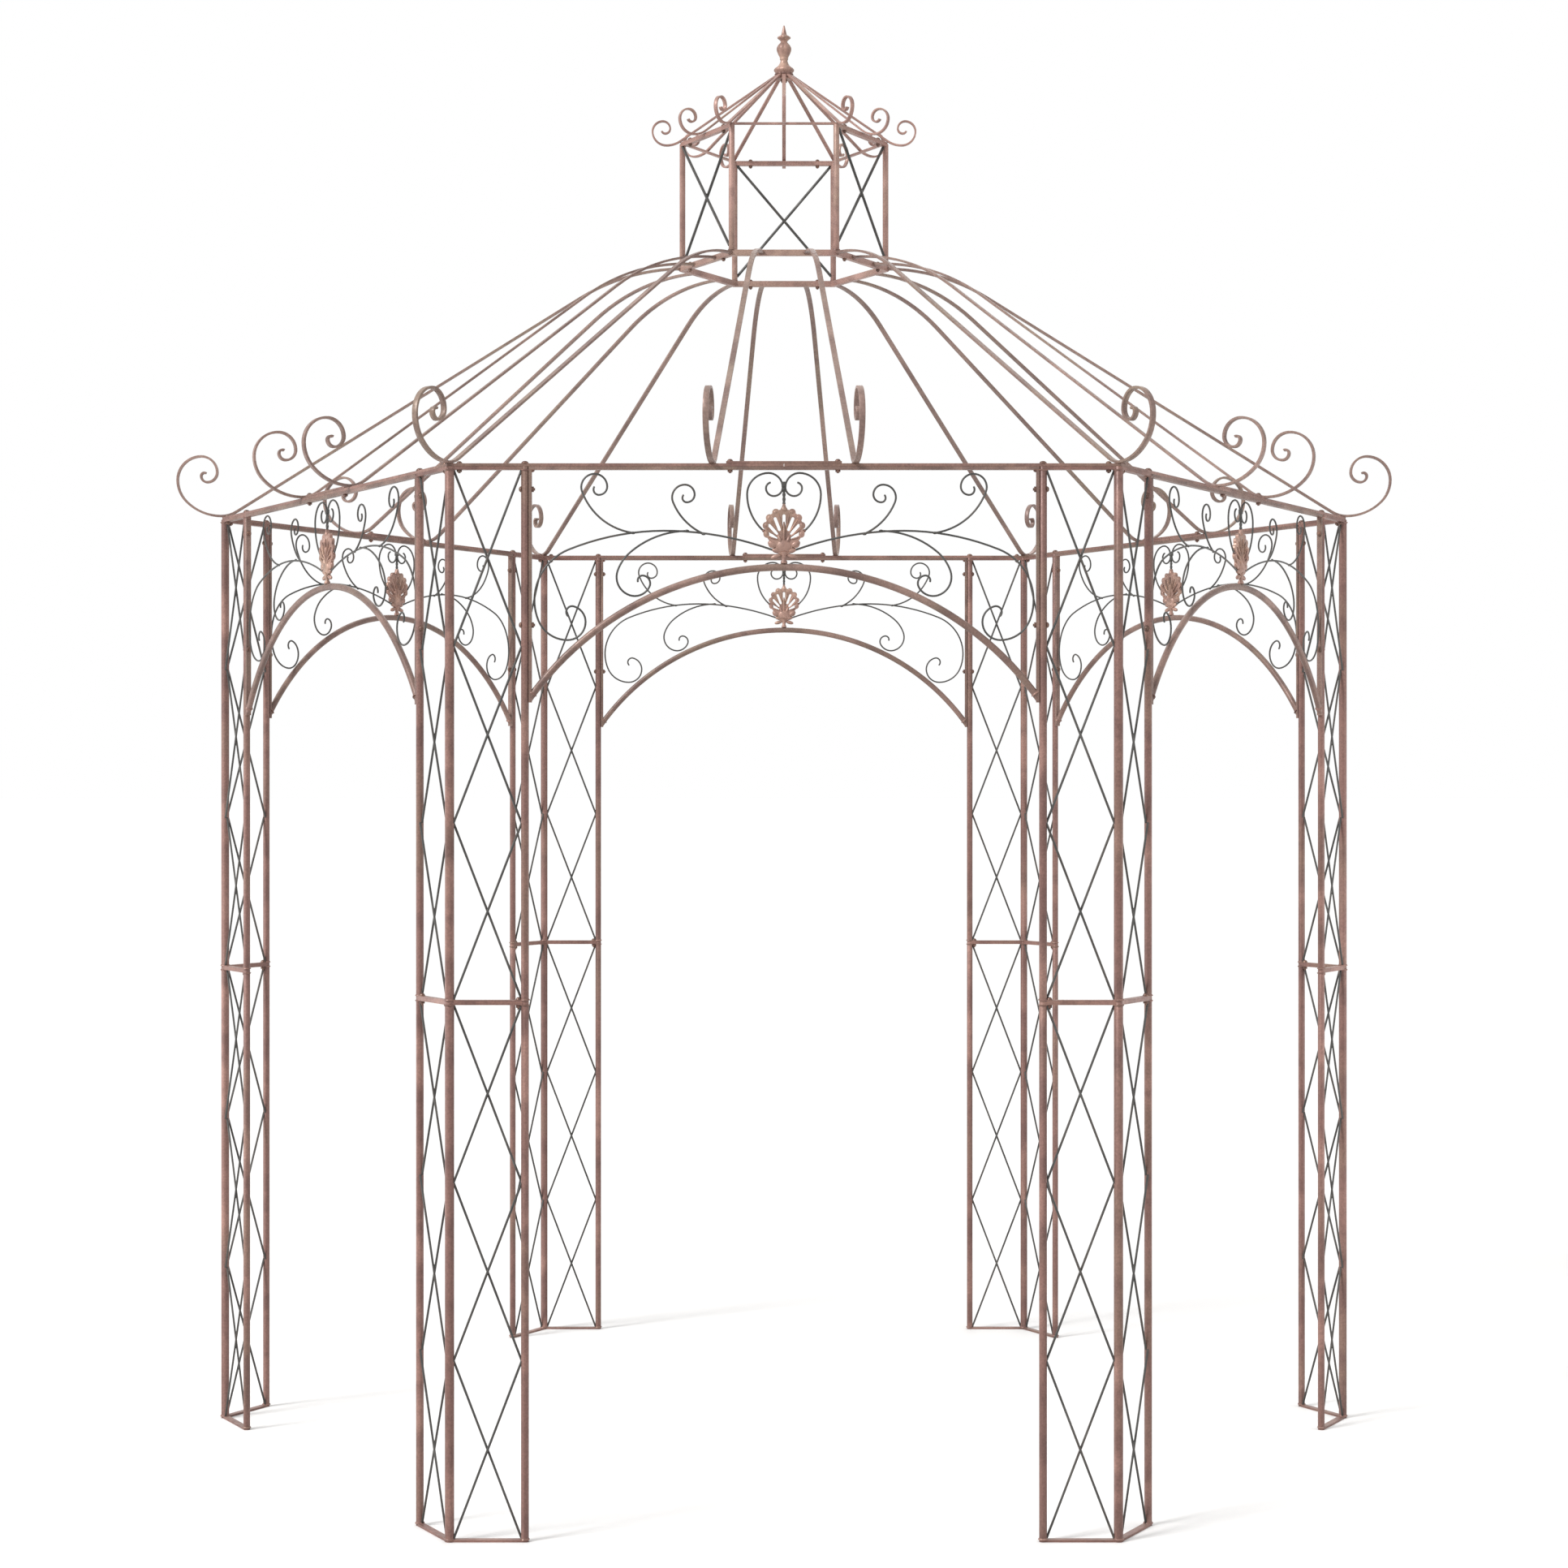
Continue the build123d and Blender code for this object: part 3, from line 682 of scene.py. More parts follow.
@dataclass(frozen=True)
class Layout:
    """The pavilion's governing lines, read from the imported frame."""

    corner_radius: float
    panel_half_width: float
    split: float
    column_top: float
    arch_top: float
    eave_top: float
    splice_top: float
    ring_radius: float
    ring_top: float
    ring_bottom: float
    cupola_panel_top: float
    cupola_top: float
    hub_bottom: float
    finial_top: float
    side_tube_radius: float = 0.008
    top_bar_thickness: float = 0.0065
    wire_bite: float = 0.0012

    @classmethod
    def read(cls) -> "Layout":
        """Reads the lines from the record's feet and the CAD nodes' boxes.

        Returns:
            The layout.
        """
        feet = {mount["name"]: Vector(mount["pos_m"]) for mount in frame["record"]["mounts"]}
        ring_low, ring_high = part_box("upper_ring")
        ring_bar = ring_high.z - ring_low.z
        return cls(
            corner_radius=feet["foot_right"].length,
            panel_half_width=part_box("arch_front")[1].x,
            split=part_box("column_lower_right")[1].z,
            column_top=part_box("column_upper_right")[1].z,
            arch_top=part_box("shell_ornaments")[0].z,
            eave_top=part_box("eave_bars")[1].z,
            splice_top=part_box("eave_splices")[1].z,
            ring_radius=(ring_high.x - ring_low.x) / 2 - ring_bar / 2 / math.cos(SIXTH / 2),
            ring_top=ring_high.z,
            ring_bottom=ring_low.z,
            cupola_panel_top=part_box("cupola_panels")[1].z,
            cupola_top=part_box("cupola_ring")[1].z,
            hub_bottom=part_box("finial")[0].z,
            finial_top=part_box("finial")[1].z,
        )

    @property
    def half_side(self) -> float:
        """Half the length of a side, between column centres."""
        return self.corner_radius / 2

    @property
    def side_tube_x(self) -> float:
        """The side tubes' distance from the middle of a side."""
        return self.panel_half_width + self.side_tube_radius

    @property
    def apothem(self) -> float:
        """The distance from the axis to the middle of a side."""
        return self.corner_radius * math.cos(SIXTH / 2)

    @property
    def ring_apothem(self) -> float:
        """The distance from the axis to the middle of a side of the upper ring."""
        return self.ring_radius * math.cos(SIXTH / 2)

    @property
    def wall(self) -> Matrix:
        """The place of work drawn in the plane Y = 0 that belongs in the front side."""
        return Matrix.Translation((0, -self.apothem, 0))


# ---- Fasteners and welds ----


@dataclass(frozen=True)
class DomeBolt:
    """A dome-headed bolt with a washer under its head and a hexagon nut on its far end.

    The dome's points are shares of the head's radius and height, from its top to its rim.
    """

    dome: Outline = ((0, 1), (0.55, 0.86), (0.9, 0.45), (1, 0))
    head_radius: float = 0.0058
    head_height: float = 0.0042
    washer_radius: float = 0.0066
    washer_height: float = 0.0009
    nut_radius: float = 0.0060
    nut_height: float = 0.0044
    nut_edge: float = 0.1
    shank_radius: float = 0.0028
    tail: float = 0.0022
    sides: int = 12

    def fit(self, bm: BMesh, seat: Vector, direction: Vector, grip: float) -> None:
        """Fits the bolt.

        Args:
            bm: The mesh that it joins.
            seat: The point on the surface under its head.
            direction: From the head towards the nut, one unit long.
            grip: The thickness that it holds together, or 0 where its nut can't be seen.
        """
        rim, sunk = self.washer_height, -self.washer_height / 2
        head = [(self.head_radius * out, rim + self.head_height * up) for out, up in self.dome]
        head += [(self.washer_radius, rim), (self.washer_radius, sunk), (0, sunk)]
        spun_profile(bm, head, facing(seat, -direction), self.sides)
        if not grip:
            return
        far = seat + direction * (grip + self.nut_height / 2)
        body = bmesh.ops.create_cone(
            bm, cap_ends=True, segments=6, radius1=self.nut_radius, radius2=self.nut_radius,
            depth=self.nut_height, matrix=facing(far, direction),
        )
        eased(bm, body["verts"], self.nut_radius * self.nut_edge, 1)
        straight_wire(bm, far, far + direction * (self.nut_height / 2 + self.tail), self.shank_radius)


def fit_pairs(bm: BMesh, y: float, pairs: Iterable[tuple[DomeBolt, float, float, float]]) -> None:
    """Fits upright bolts in pairs, one on each side of the middle of the front.

    Args:
        bm: The mesh that they join.
        y: Their place from front to back.
        pairs: Each pair's bolt, distance from the middle, height under the head, and grip.
    """
    for bolt, x, top, grip in pairs:
        for side in (-1, 1):
            bolt.fit(bm, Vector((side * x, y, top)), -UP, grip)


@dataclass
class WeldBead:
    """An uneven collar of weld round a round bar.

    The section's points are (out from the bar, along the bar), as shares of the leg.
    """

    section: Outline = ((-0.4, -0.3), (1, -0.3), (0.85, 0.4), (0.3, 1.1), (-0.4, 1.6), (-0.4, -0.3))
    leg: float = 0.0022
    ripple: float = 0.28
    sides: int = 18
    draws: random.Random = random.Random(1861)

    def lay(self, bm: BMesh, centre: Vector, axis: Vector, bar_radius: float) -> None:
        """Lays a bead round a bar.

        Args:
            bm: The mesh that it joins.
            centre: The point on the bar's axis at the joint.
            axis: From the joint along the bar, the way the bead thins out.
            bar_radius: The bar's radius.
        """
        profile = [(bar_radius + self.leg * out, self.leg * up) for out, up in self.section]
        made = spun_profile(bm, profile, Matrix.Identity(4), self.sides)
        for vert in made:
            outwards = Vector((vert.co.x, vert.co.y, 0))
            if outwards.length > bar_radius:
                vert.co += outwards.normalized() * self.ripple * self.leg * self.draws.uniform(-1, 1)
        bmesh.ops.transform(bm, matrix=facing(centre, axis), verts=made)


# ---- Columns ----


@dataclass
class Column:
    """One corner column: three tubes with crossed wires between them, in two bolted halves."""

    layout: Layout
    corner_tube_radius: float = 0.0095
    bar_thickness: float = 0.005
    wire_radius: float = 0.0025
    crossing_weld: Size = (0.0026, 0.0038, 0.0048)
    crosses_per_half: int = 3
    joint_bolt: DomeBolt = DomeBolt(nut_height=0.006, head_height=0.0052, tail=0.0035)
    joint_bolt_inset: float = 0.013

    def halves(self) -> list[tuple[float, float]]:
        """Finds the clear heights between the bars of the lower and upper halves.

        Returns:
            The bottom and top of each half.
        """
        line = self.layout
        lower = (self.bar_thickness, line.split - self.bar_thickness)
        return [lower, (line.split + self.bar_thickness, line.column_top - line.top_bar_thickness)]

    def lattice(self) -> BMesh:
        """Strings the crossed wires of both wings, one wire of each pair lying over the other.

        Returns:
            The wires of the front right column.
        """
        line = self.layout
        bm = bmesh.new()
        low_x = line.side_tube_x + line.side_tube_radius - line.wire_bite
        high_x = line.half_side - self.corner_tube_radius + line.wire_bite
        for bottom, top in self.halves():
            pitch = (top - bottom) / self.crosses_per_half
            for cross in range(self.crosses_per_half):
                low = Vector((low_x, -line.apothem, bottom + cross * pitch))
                high = Vector((high_x, -line.apothem, bottom + (cross + 1) * pitch))
                crossed_wires(bm, low, high, self.wire_radius, self.crossing_weld)
        add_mirrored(bm, FLIP_ROUND_CORNER)
        return bm

    def welds(self) -> BMesh:
        """Lays weld round every tube where a bar meets it.

        Returns:
            The beads of the front right column.
        """
        line = self.layout
        bm = bmesh.new()
        bead = WeldBead()
        tubes = ((line.side_tube_x, line.side_tube_radius), (line.half_side, self.corner_tube_radius))
        for x, radius in tubes:
            for bottom, top in self.halves():
                for height, way in ((bottom, 1), (top, -1)):
                    bead.lay(bm, Vector((x, -line.apothem, height)), UP * way, radius)
        add_mirrored(bm, FLIP_ROUND_CORNER)
        return bm

    def joint_bolts(self) -> BMesh:
        """Bolts the two halves of every column together beside each side tube.

        Returns:
            The bolts.
        """
        line, bar = self.layout, self.bar_thickness
        bm = bmesh.new()
        x = line.side_tube_x + self.joint_bolt_inset
        fit_pairs(bm, -line.apothem, [(self.joint_bolt, x, line.split + bar, 2 * bar)])
        stand_on(bm)
        return bm

    def build(self, coats: Coats) -> None:
        """Makes the wires, welds and joint bolts of all six columns.

        Args:
            coats: The finished materials by name.
        """
        for step, corner in enumerate(CORNERS):
            wires, welds = self.lattice(), self.welds()
            for bm in (wires, welds):
                stand_on(bm, [step])
            replaced = [f"column_lattice_{corner}"]
            finished_piece(f"lattice_wires_{corner}", wires, coats["wires"], replaced)
            finished_piece(f"column_welds_{corner}", welds, coats["welds"])
        finished_piece("column_joint_bolts", self.joint_bolts(), coats["fasteners"])


# ---- Arch panels ----


@dataclass
class ArchPanel:
    """The scrolled panel over each archway: two scrolls with sprigs, a heart, its tie and its rod."""

    layout: Layout
    wire_radius: float = 0.0021
    fork_weld: Size = (0.0050, 0.0027, 0.0030)
    leg_thickness: float = 0.006
    arch_tube_radius: float = 0.00725
    arch_radius: float = 0.637
    arch_bite: float = 0.002
    bar_weld: Size = (0.005, 0.005, 0.004)
    bar_weld_drop: float = 0.0075
    heart_foot: tuple[float, float] = (0.0415, 0.1308)
    heart_weld: Size = (0.0034, 0.0032, 0.0036)
    bolt_drops: tuple[float, float] = (0.046, 0.323)
    bolt_bite: float = 0.0004
    tie_drop: float = 0.036
    tie_size: Size = (0.0105, 0.008, 0.011)
    tie_edge: float = 0.0016
    rod_length: float = 0.034
    rod_bite: float = 0.006
    rod_radius: float = 0.0034
    rod_steps: int = 24

    def wires(self) -> list[BentWire]:
        """Draws the left half's wires, with heights measured down from the top of the columns.

        Returns:
            The main scroll, its two upper sprigs, its lower sprig and the heart's lobe.
        """
        top = self.layout.column_top
        return [
            BentWire(-0.023, top - 0.170, 160, (
                (0.655, 18), (0.525, 24), (0.112, 62), (0.110, 28),
                (0.064, 68), (0.037, 90), (0.033, 75), (0.012, 150),
            )),
            BentWire(-0.164, top - 0.137, 156, (
                (0.120, -44), (0.026, -112), (0.020, -90), (0.016, -90), (0.009, -130),
            )),
            BentWire(-0.308, top - 0.135, 172, (
                (0.130, -62), (0.027, -110), (0.026, -90), (0.017, -90), (0.011, -120),
            )),
            BentWire(-0.198, top - 0.131, 180.5, (
                (0.180, 40), (0.089, 30), (0.039, 92), (0.033, 83), (0.016, 110), (0.010, 110),
            )),
            BentWire(-0.0386, top - 0.1337, 140.7, (
                (0.100, -50.7), (0.0435, -90), (0.029, -90), (0.018, -90), (0.016, -90), (0.012, -75),
            )),
        ]

    def scrolls(self, bm: BMesh) -> None:
        """Bends the left half's wires, with a weld where each sprig leaves its scroll.

        Args:
            bm: The mesh that they join.
        """
        wires = self.wires()
        for wire in wires:
            wire.form(bm, self.wire_radius)
        for sprig in wires[1:4]:
            swollen(bm, Matrix.Translation((sprig.x, 0, sprig.z)), self.fork_weld, sides=8)

    def tie(self, bm: BMesh) -> None:
        """Makes the collar that ties the heart's lobes and the twisted rod under it.

        Args:
            bm: The mesh that they join.
        """
        height = self.layout.column_top - self.tie_drop
        place = Matrix.Translation((0, 0, height)) @ Matrix.Diagonal((*self.tie_size, 1))
        eased(bm, bmesh.ops.create_cube(bm, size=1, matrix=place)["verts"], self.tie_edge, 2)
        foot = Matrix.Translation((0, 0, height - self.rod_length - self.rod_bite))
        square = bmesh.ops.create_circle(bm, segments=4, radius=self.rod_radius, matrix=foot)
        ring = edges_round(square["verts"])
        bmesh.ops.contextual_create(bm, geom=ring)
        climb = (self.rod_length + self.rod_bite * 2 / 3) / self.rod_steps
        twist = bmesh.ops.spin(
            bm, geom=ring, cent=(0, 0, 0), axis=UP, angle=math.tau, steps=self.rod_steps, dvec=(0, 0, climb)
        )
        bmesh.ops.contextual_create(bm, geom=of_kind(twist["geom_last"], BMEdge))

    def welds(self, bm: BMesh) -> None:
        """Lays the right half's welds: at the arch tube's foot, the top bar and the heart's foot.

        Args:
            bm: The mesh that they join.
        """
        inner = self.layout.panel_half_width - self.leg_thickness
        first = math.acos((inner - self.arch_bite) / self.arch_radius)
        centre = Vector((0, 0, self.layout.arch_top - self.arch_tube_radius - self.arch_radius))
        foot = centre + along(first) * self.arch_radius
        WeldBead().lay(bm, foot, along(first + math.pi / 2), self.arch_tube_radius)
        corner = (inner - self.arch_bite / 2, 0, self.layout.column_top - self.bar_weld_drop)
        swollen(bm, Matrix.Translation(corner), self.bar_weld, sides=8)
        lobe = (self.heart_foot[0], 0, self.layout.column_top - self.heart_foot[1])
        swollen(bm, Matrix.Translation(lobe), self.heart_weld, sides=8)

    def side_bolts(self) -> BMesh:
        """Bolts every panel's legs to the side tubes, two bolts to a leg.

        Returns:
            The bolts.
        """
        bm = bmesh.new()
        across = 2 * self.layout.side_tube_radius - self.bolt_bite
        seat_x, grip = self.layout.panel_half_width + across, across + self.leg_thickness
        for drop in self.bolt_drops:
            for side in (-1, 1):
                seat = Vector((side * seat_x, -self.layout.apothem, self.layout.column_top - drop))
                DomeBolt().fit(bm, seat, Vector((-side, 0, 0)), grip)
        stand_on(bm)
        return bm

    def build(self, coats: Coats) -> None:
        """Makes the wires, ties, welds and bolts of all six panels.

        Args:
            coats: The finished materials by name.
        """
        finished_piece("arch_side_bolts", self.side_bolts(), coats["fasteners"])
        for step, side in enumerate(SIDES):
            parts = (
                (f"scroll_wires_{side}", self.scrolls, True, "wires", Slot.WIRE, [f"scrollwork_{side}"]),
                (f"heart_tie_{side}", self.tie, False, "wires", Slot.WIRE, []),
                (f"arch_welds_{side}", self.welds, True, "welds", Slot.BROWN, []),
            )
            for name, make, in_halves, coat, slot, replaced in parts:
                bm = bmesh.new()
                make(bm)
                if in_halves:
                    add_mirrored(bm, FLIP_X)
                bmesh.ops.transform(bm, matrix=self.layout.wall, verts=bm.verts)
                stand_on(bm, [step])
                finished_piece(name, bm, coats[coat], replaced)


# ---- Castings ----


@dataclass
class ShellCasting:
    """The cast scallop shell on each arch: a pierced fan with raised ribs, a knob, leaves and a tip.

    Rises are heights above the top of the arch tube, and leans are in degrees from upright.
    """

    layout: Layout
    edge_rounding: float = 0.0009
    edge_angle: float = 50.0
    pivot_rise: float = 0.0448
    fan_rise: float = 0.0718
    fan_radius: float = 0.0372
    ribs: int = 8
    rib_step: float = 21.0
    rib_size: tuple[float, float] = (0.0021, 0.0058)
    rib_start: float = 0.012
    rib_overrun: float = 0.003
    lobes: int = 9
    lobe_spread: float = 216.0
    lobe_size: Size = (0.0070, 0.0046, 0.0050)
    knob_rise: float = 0.0350
    knob_size: Size = (0.0165, 0.0080, 0.0160)
    leaves: tuple[tuple[float, float, float, Size], ...] = (
        (0.0235, 0.0395, 60, (0.0070, 0.0056, 0.0105)),
        (0.0155, 0.0265, 75, (0.0052, 0.0050, 0.0100)),
        (0.0155, 0.0146, 106, (0.0052, 0.0044, 0.0118)),
        (0.0080, 0.0480, 24, (0.0044, 0.0070, 0.0125)),
    )
    petal_rise: float = 0.0610
    petal_size: Size = (0.0038, 0.0074, 0.0255)
    stem: Outline = (
        (0, 0.0), (0.0068, 0.0), (0.0070, 0.0035), (0.0045, 0.0080), (0.0052, 0.0150), (0.0085, 0.0240),
        (0, 0.0260),
    )
    bud_rise: float = 0.1075
    bud: Outline = (
        (0, 0.0), (0.0062, 0.0010), (0.0066, 0.0045), (0.0040, 0.0090), (0.0024, 0.0150), (0.0022, 0.0330),
        (0, 0.0335),
    )

    def spot(self, x: float, rise: float, lean: float = 0.0) -> Matrix:
        """The place of a raised detail, leaning towards +X in the wall's plane."""
        where = Vector((x, 0, self.layout.arch_top + rise))
        return Matrix.Translation(where) @ Matrix.Rotation(math.radians(lean), 4, "Y")

    def plate(self) -> BMesh:
        """Makes the pierced front plate with its edges rounded, from a copy of the CAD casting.

        Returns:
            The plate, standing in the plane Y = 0.
        """
        bm = bmesh.new()
        bm.from_mesh(frame["nodes"]["shell_ornaments"].data)
        bmesh.ops.remove_doubles(bm, verts=bm.verts, dist=SAME_SPOT)
        reach, half_span = self.layout.apothem / 2, self.layout.half_side / 2
        beyond = [vert for vert in bm.verts if vert.co.y > -reach or abs(vert.co.x) > half_span]
        bmesh.ops.delete(bm, geom=beyond, context="VERTS")
        bmesh.ops.dissolve_limit(
            bm, angle_limit=math.radians(2), verts=bm.verts, edges=bm.edges, use_dissolve_boundaries=False
        )
        crease = math.radians(self.edge_angle)
        sharp = [edge for edge in bm.edges if edge.is_manifold and edge.calc_face_angle(0) > crease]
        bmesh.ops.bevel(
            bm, geom=sharp, offset=self.edge_rounding, affect="EDGES", segments=2, profile=0.5, material=-1,
            clamp_overlap=True,
        )
        bmesh.ops.transform(bm, matrix=self.layout.wall.inverted(), verts=bm.verts)
        return bm

    def raise_ribs(self, bm: BMesh) -> None:
        """Raises a swollen rib between every two slots of the fan, out to its rim.

        Args:
            bm: The mesh that the ribs join.
        """
        offset = self.fan_rise - self.pivot_rise
        for rib in range(self.ribs):
            lean = (rib - (self.ribs - 1) / 2) * self.rib_step
            tilt = math.radians(lean)
            rim = offset * math.cos(tilt) + math.sqrt(self.fan_radius**2 - (offset * math.sin(tilt)) ** 2)
            middle = (rim + self.rib_start) / 2
            place = self.spot(middle * math.sin(tilt), self.pivot_rise + middle * math.cos(tilt), lean)
            half_length = (rim - self.rib_start) / 2 + self.rib_overrun
            swollen(bm, place, (*self.rib_size, half_length))

    def raise_lobes(self, bm: BMesh) -> None:
        """Raises the scallops round the fan's rim.

        Args:
            bm: The mesh that the scallops join.
        """
        for lobe in range(self.lobes):
            lean = (lobe - (self.lobes - 1) / 2) * self.lobe_spread / (self.lobes - 1)
            tilt = math.radians(lean)
            x, rise = self.fan_radius * math.sin(tilt), self.fan_rise + self.fan_radius * math.cos(tilt)
            swollen(bm, self.spot(x, rise, lean), self.lobe_size)

    def raise_leaves(self, bm: BMesh) -> None:
        """Raises the knob, the leaves on both sides of it and the middle petal.

        Args:
            bm: The mesh that they join.
        """
        swollen(bm, self.spot(0, self.knob_rise), self.knob_size, sides=20)
        for x, rise, lean, size in self.leaves:
            for side in (-1, 1):
                swollen(bm, self.spot(side * x, rise, side * lean), size)
        swollen(bm, self.spot(0, self.petal_rise), self.petal_size)

    def build(self, coats: Coats) -> None:
        """Makes the six shells, each with its stem and pointed bud, as one piece.

        Args:
            coats: The finished materials by name.
        """
        bm = self.plate()
        self.raise_ribs(bm)
        self.raise_lobes(bm)
        self.raise_leaves(bm)
        spun_profile(bm, self.stem, self.spot(0, 0), sides=16)
        spun_profile(bm, self.bud, self.spot(0, self.bud_rise), sides=14)
        bmesh.ops.transform(bm, matrix=self.layout.wall, verts=bm.verts)
        stand_on(bm)
        finished_piece("shell_castings", bm, coats["castings"], ["shell_ornaments"])


@dataclass
class FinialCasting:
    """The turned spike on the cupola, with fluted flare and bulb, and the bolt that holds it.

    The outline is (radius, height above the hub's underside) up to the tip. Each band of flutes is its
    middle height, its reach up and down, its depth as a share of the radius, and its phase in flutes.
    """

    layout: Layout
    flutes: int = 8
    sides: int = 64
    outline: Outline = (
        (0, 0), (0.0185, 0), (0.0200, 0.0012), (0.0200, 0.0150), (0.0222, 0.0178), (0.0248, 0.0215),
        (0.0246, 0.0245), (0.0222, 0.0280), (0.0180, 0.0305), (0.0138, 0.0345), (0.0105, 0.0400),
        (0.0086, 0.0450), (0.0090, 0.0475), (0.0104, 0.0500), (0.0098, 0.0520), (0.0112, 0.0560),
        (0.0150, 0.0630), (0.0182, 0.0700), (0.0190, 0.0740), (0.0180, 0.0785), (0.0148, 0.0840),
        (0.0106, 0.0885), (0.0080, 0.0915), (0.0084, 0.0945), (0.0122, 0.0980), (0.0158, 0.1005),
        (0.0164, 0.1025), (0.0156, 0.1045), (0.0104, 0.1070), (0.0070, 0.1100), (0.0054, 0.1160),
        (0.0036, 0.1240), (0.0018, 0.1310),
    )
    bands: tuple[tuple[float, float, float, float], ...] = (
        (0.0235, 0.0090, 0.10, 0.0), (0.0735, 0.0150, 0.09, 0.5), (0.1025, 0.0050, 0.12, 0.0),
    )
    bolt: DomeBolt = DomeBolt(nut_radius=0.0085, nut_height=0.0065, shank_radius=0.004, tail=0.012)
    bolt_depth: float = 0.006

    def flute(self, verts: Iterable[BMVert]) -> None:
        """Presses in the flutes, deepest in the middle of each band.

        Args:
            verts: The finial's vertices, with the hub's underside at height 0.
        """
        for vert in verts:
            angle = math.atan2(vert.co.y, vert.co.x)
            for middle, reach, depth, phase in self.bands:
                fade = max(0.0, 1 - ((vert.co.z - middle) / reach) ** 2)
                swell = abs(math.cos((angle * self.flutes + phase * math.tau) / 2)) - 1
                vert.co.xy *= 1 + depth * fade * swell

    def build(self, coats: Coats) -> None:
        """Makes the finial and the bolt under its hub.

        Args:
            coats: The finished materials by name.
        """
        bm = bmesh.new()
        hub = Vector((0, 0, self.layout.hub_bottom))
        outline = (*self.outline, (0, self.layout.finial_top - self.layout.hub_bottom))
        self.flute(spun_profile(bm, outline, Matrix.Identity(4), self.sides))
        bmesh.ops.translate(bm, vec=hub, verts=bm.verts)
        finished_piece("finial_casting", bm, coats["castings"], ["finial"])
        stud = bmesh.new()
        self.bolt.fit(stud, hub + UP * self.bolt_depth, -UP, self.bolt_depth)
        finished_piece("hub_bolt", stud, coats["fasteners"])


# ---- Eave, roof and cupola ----


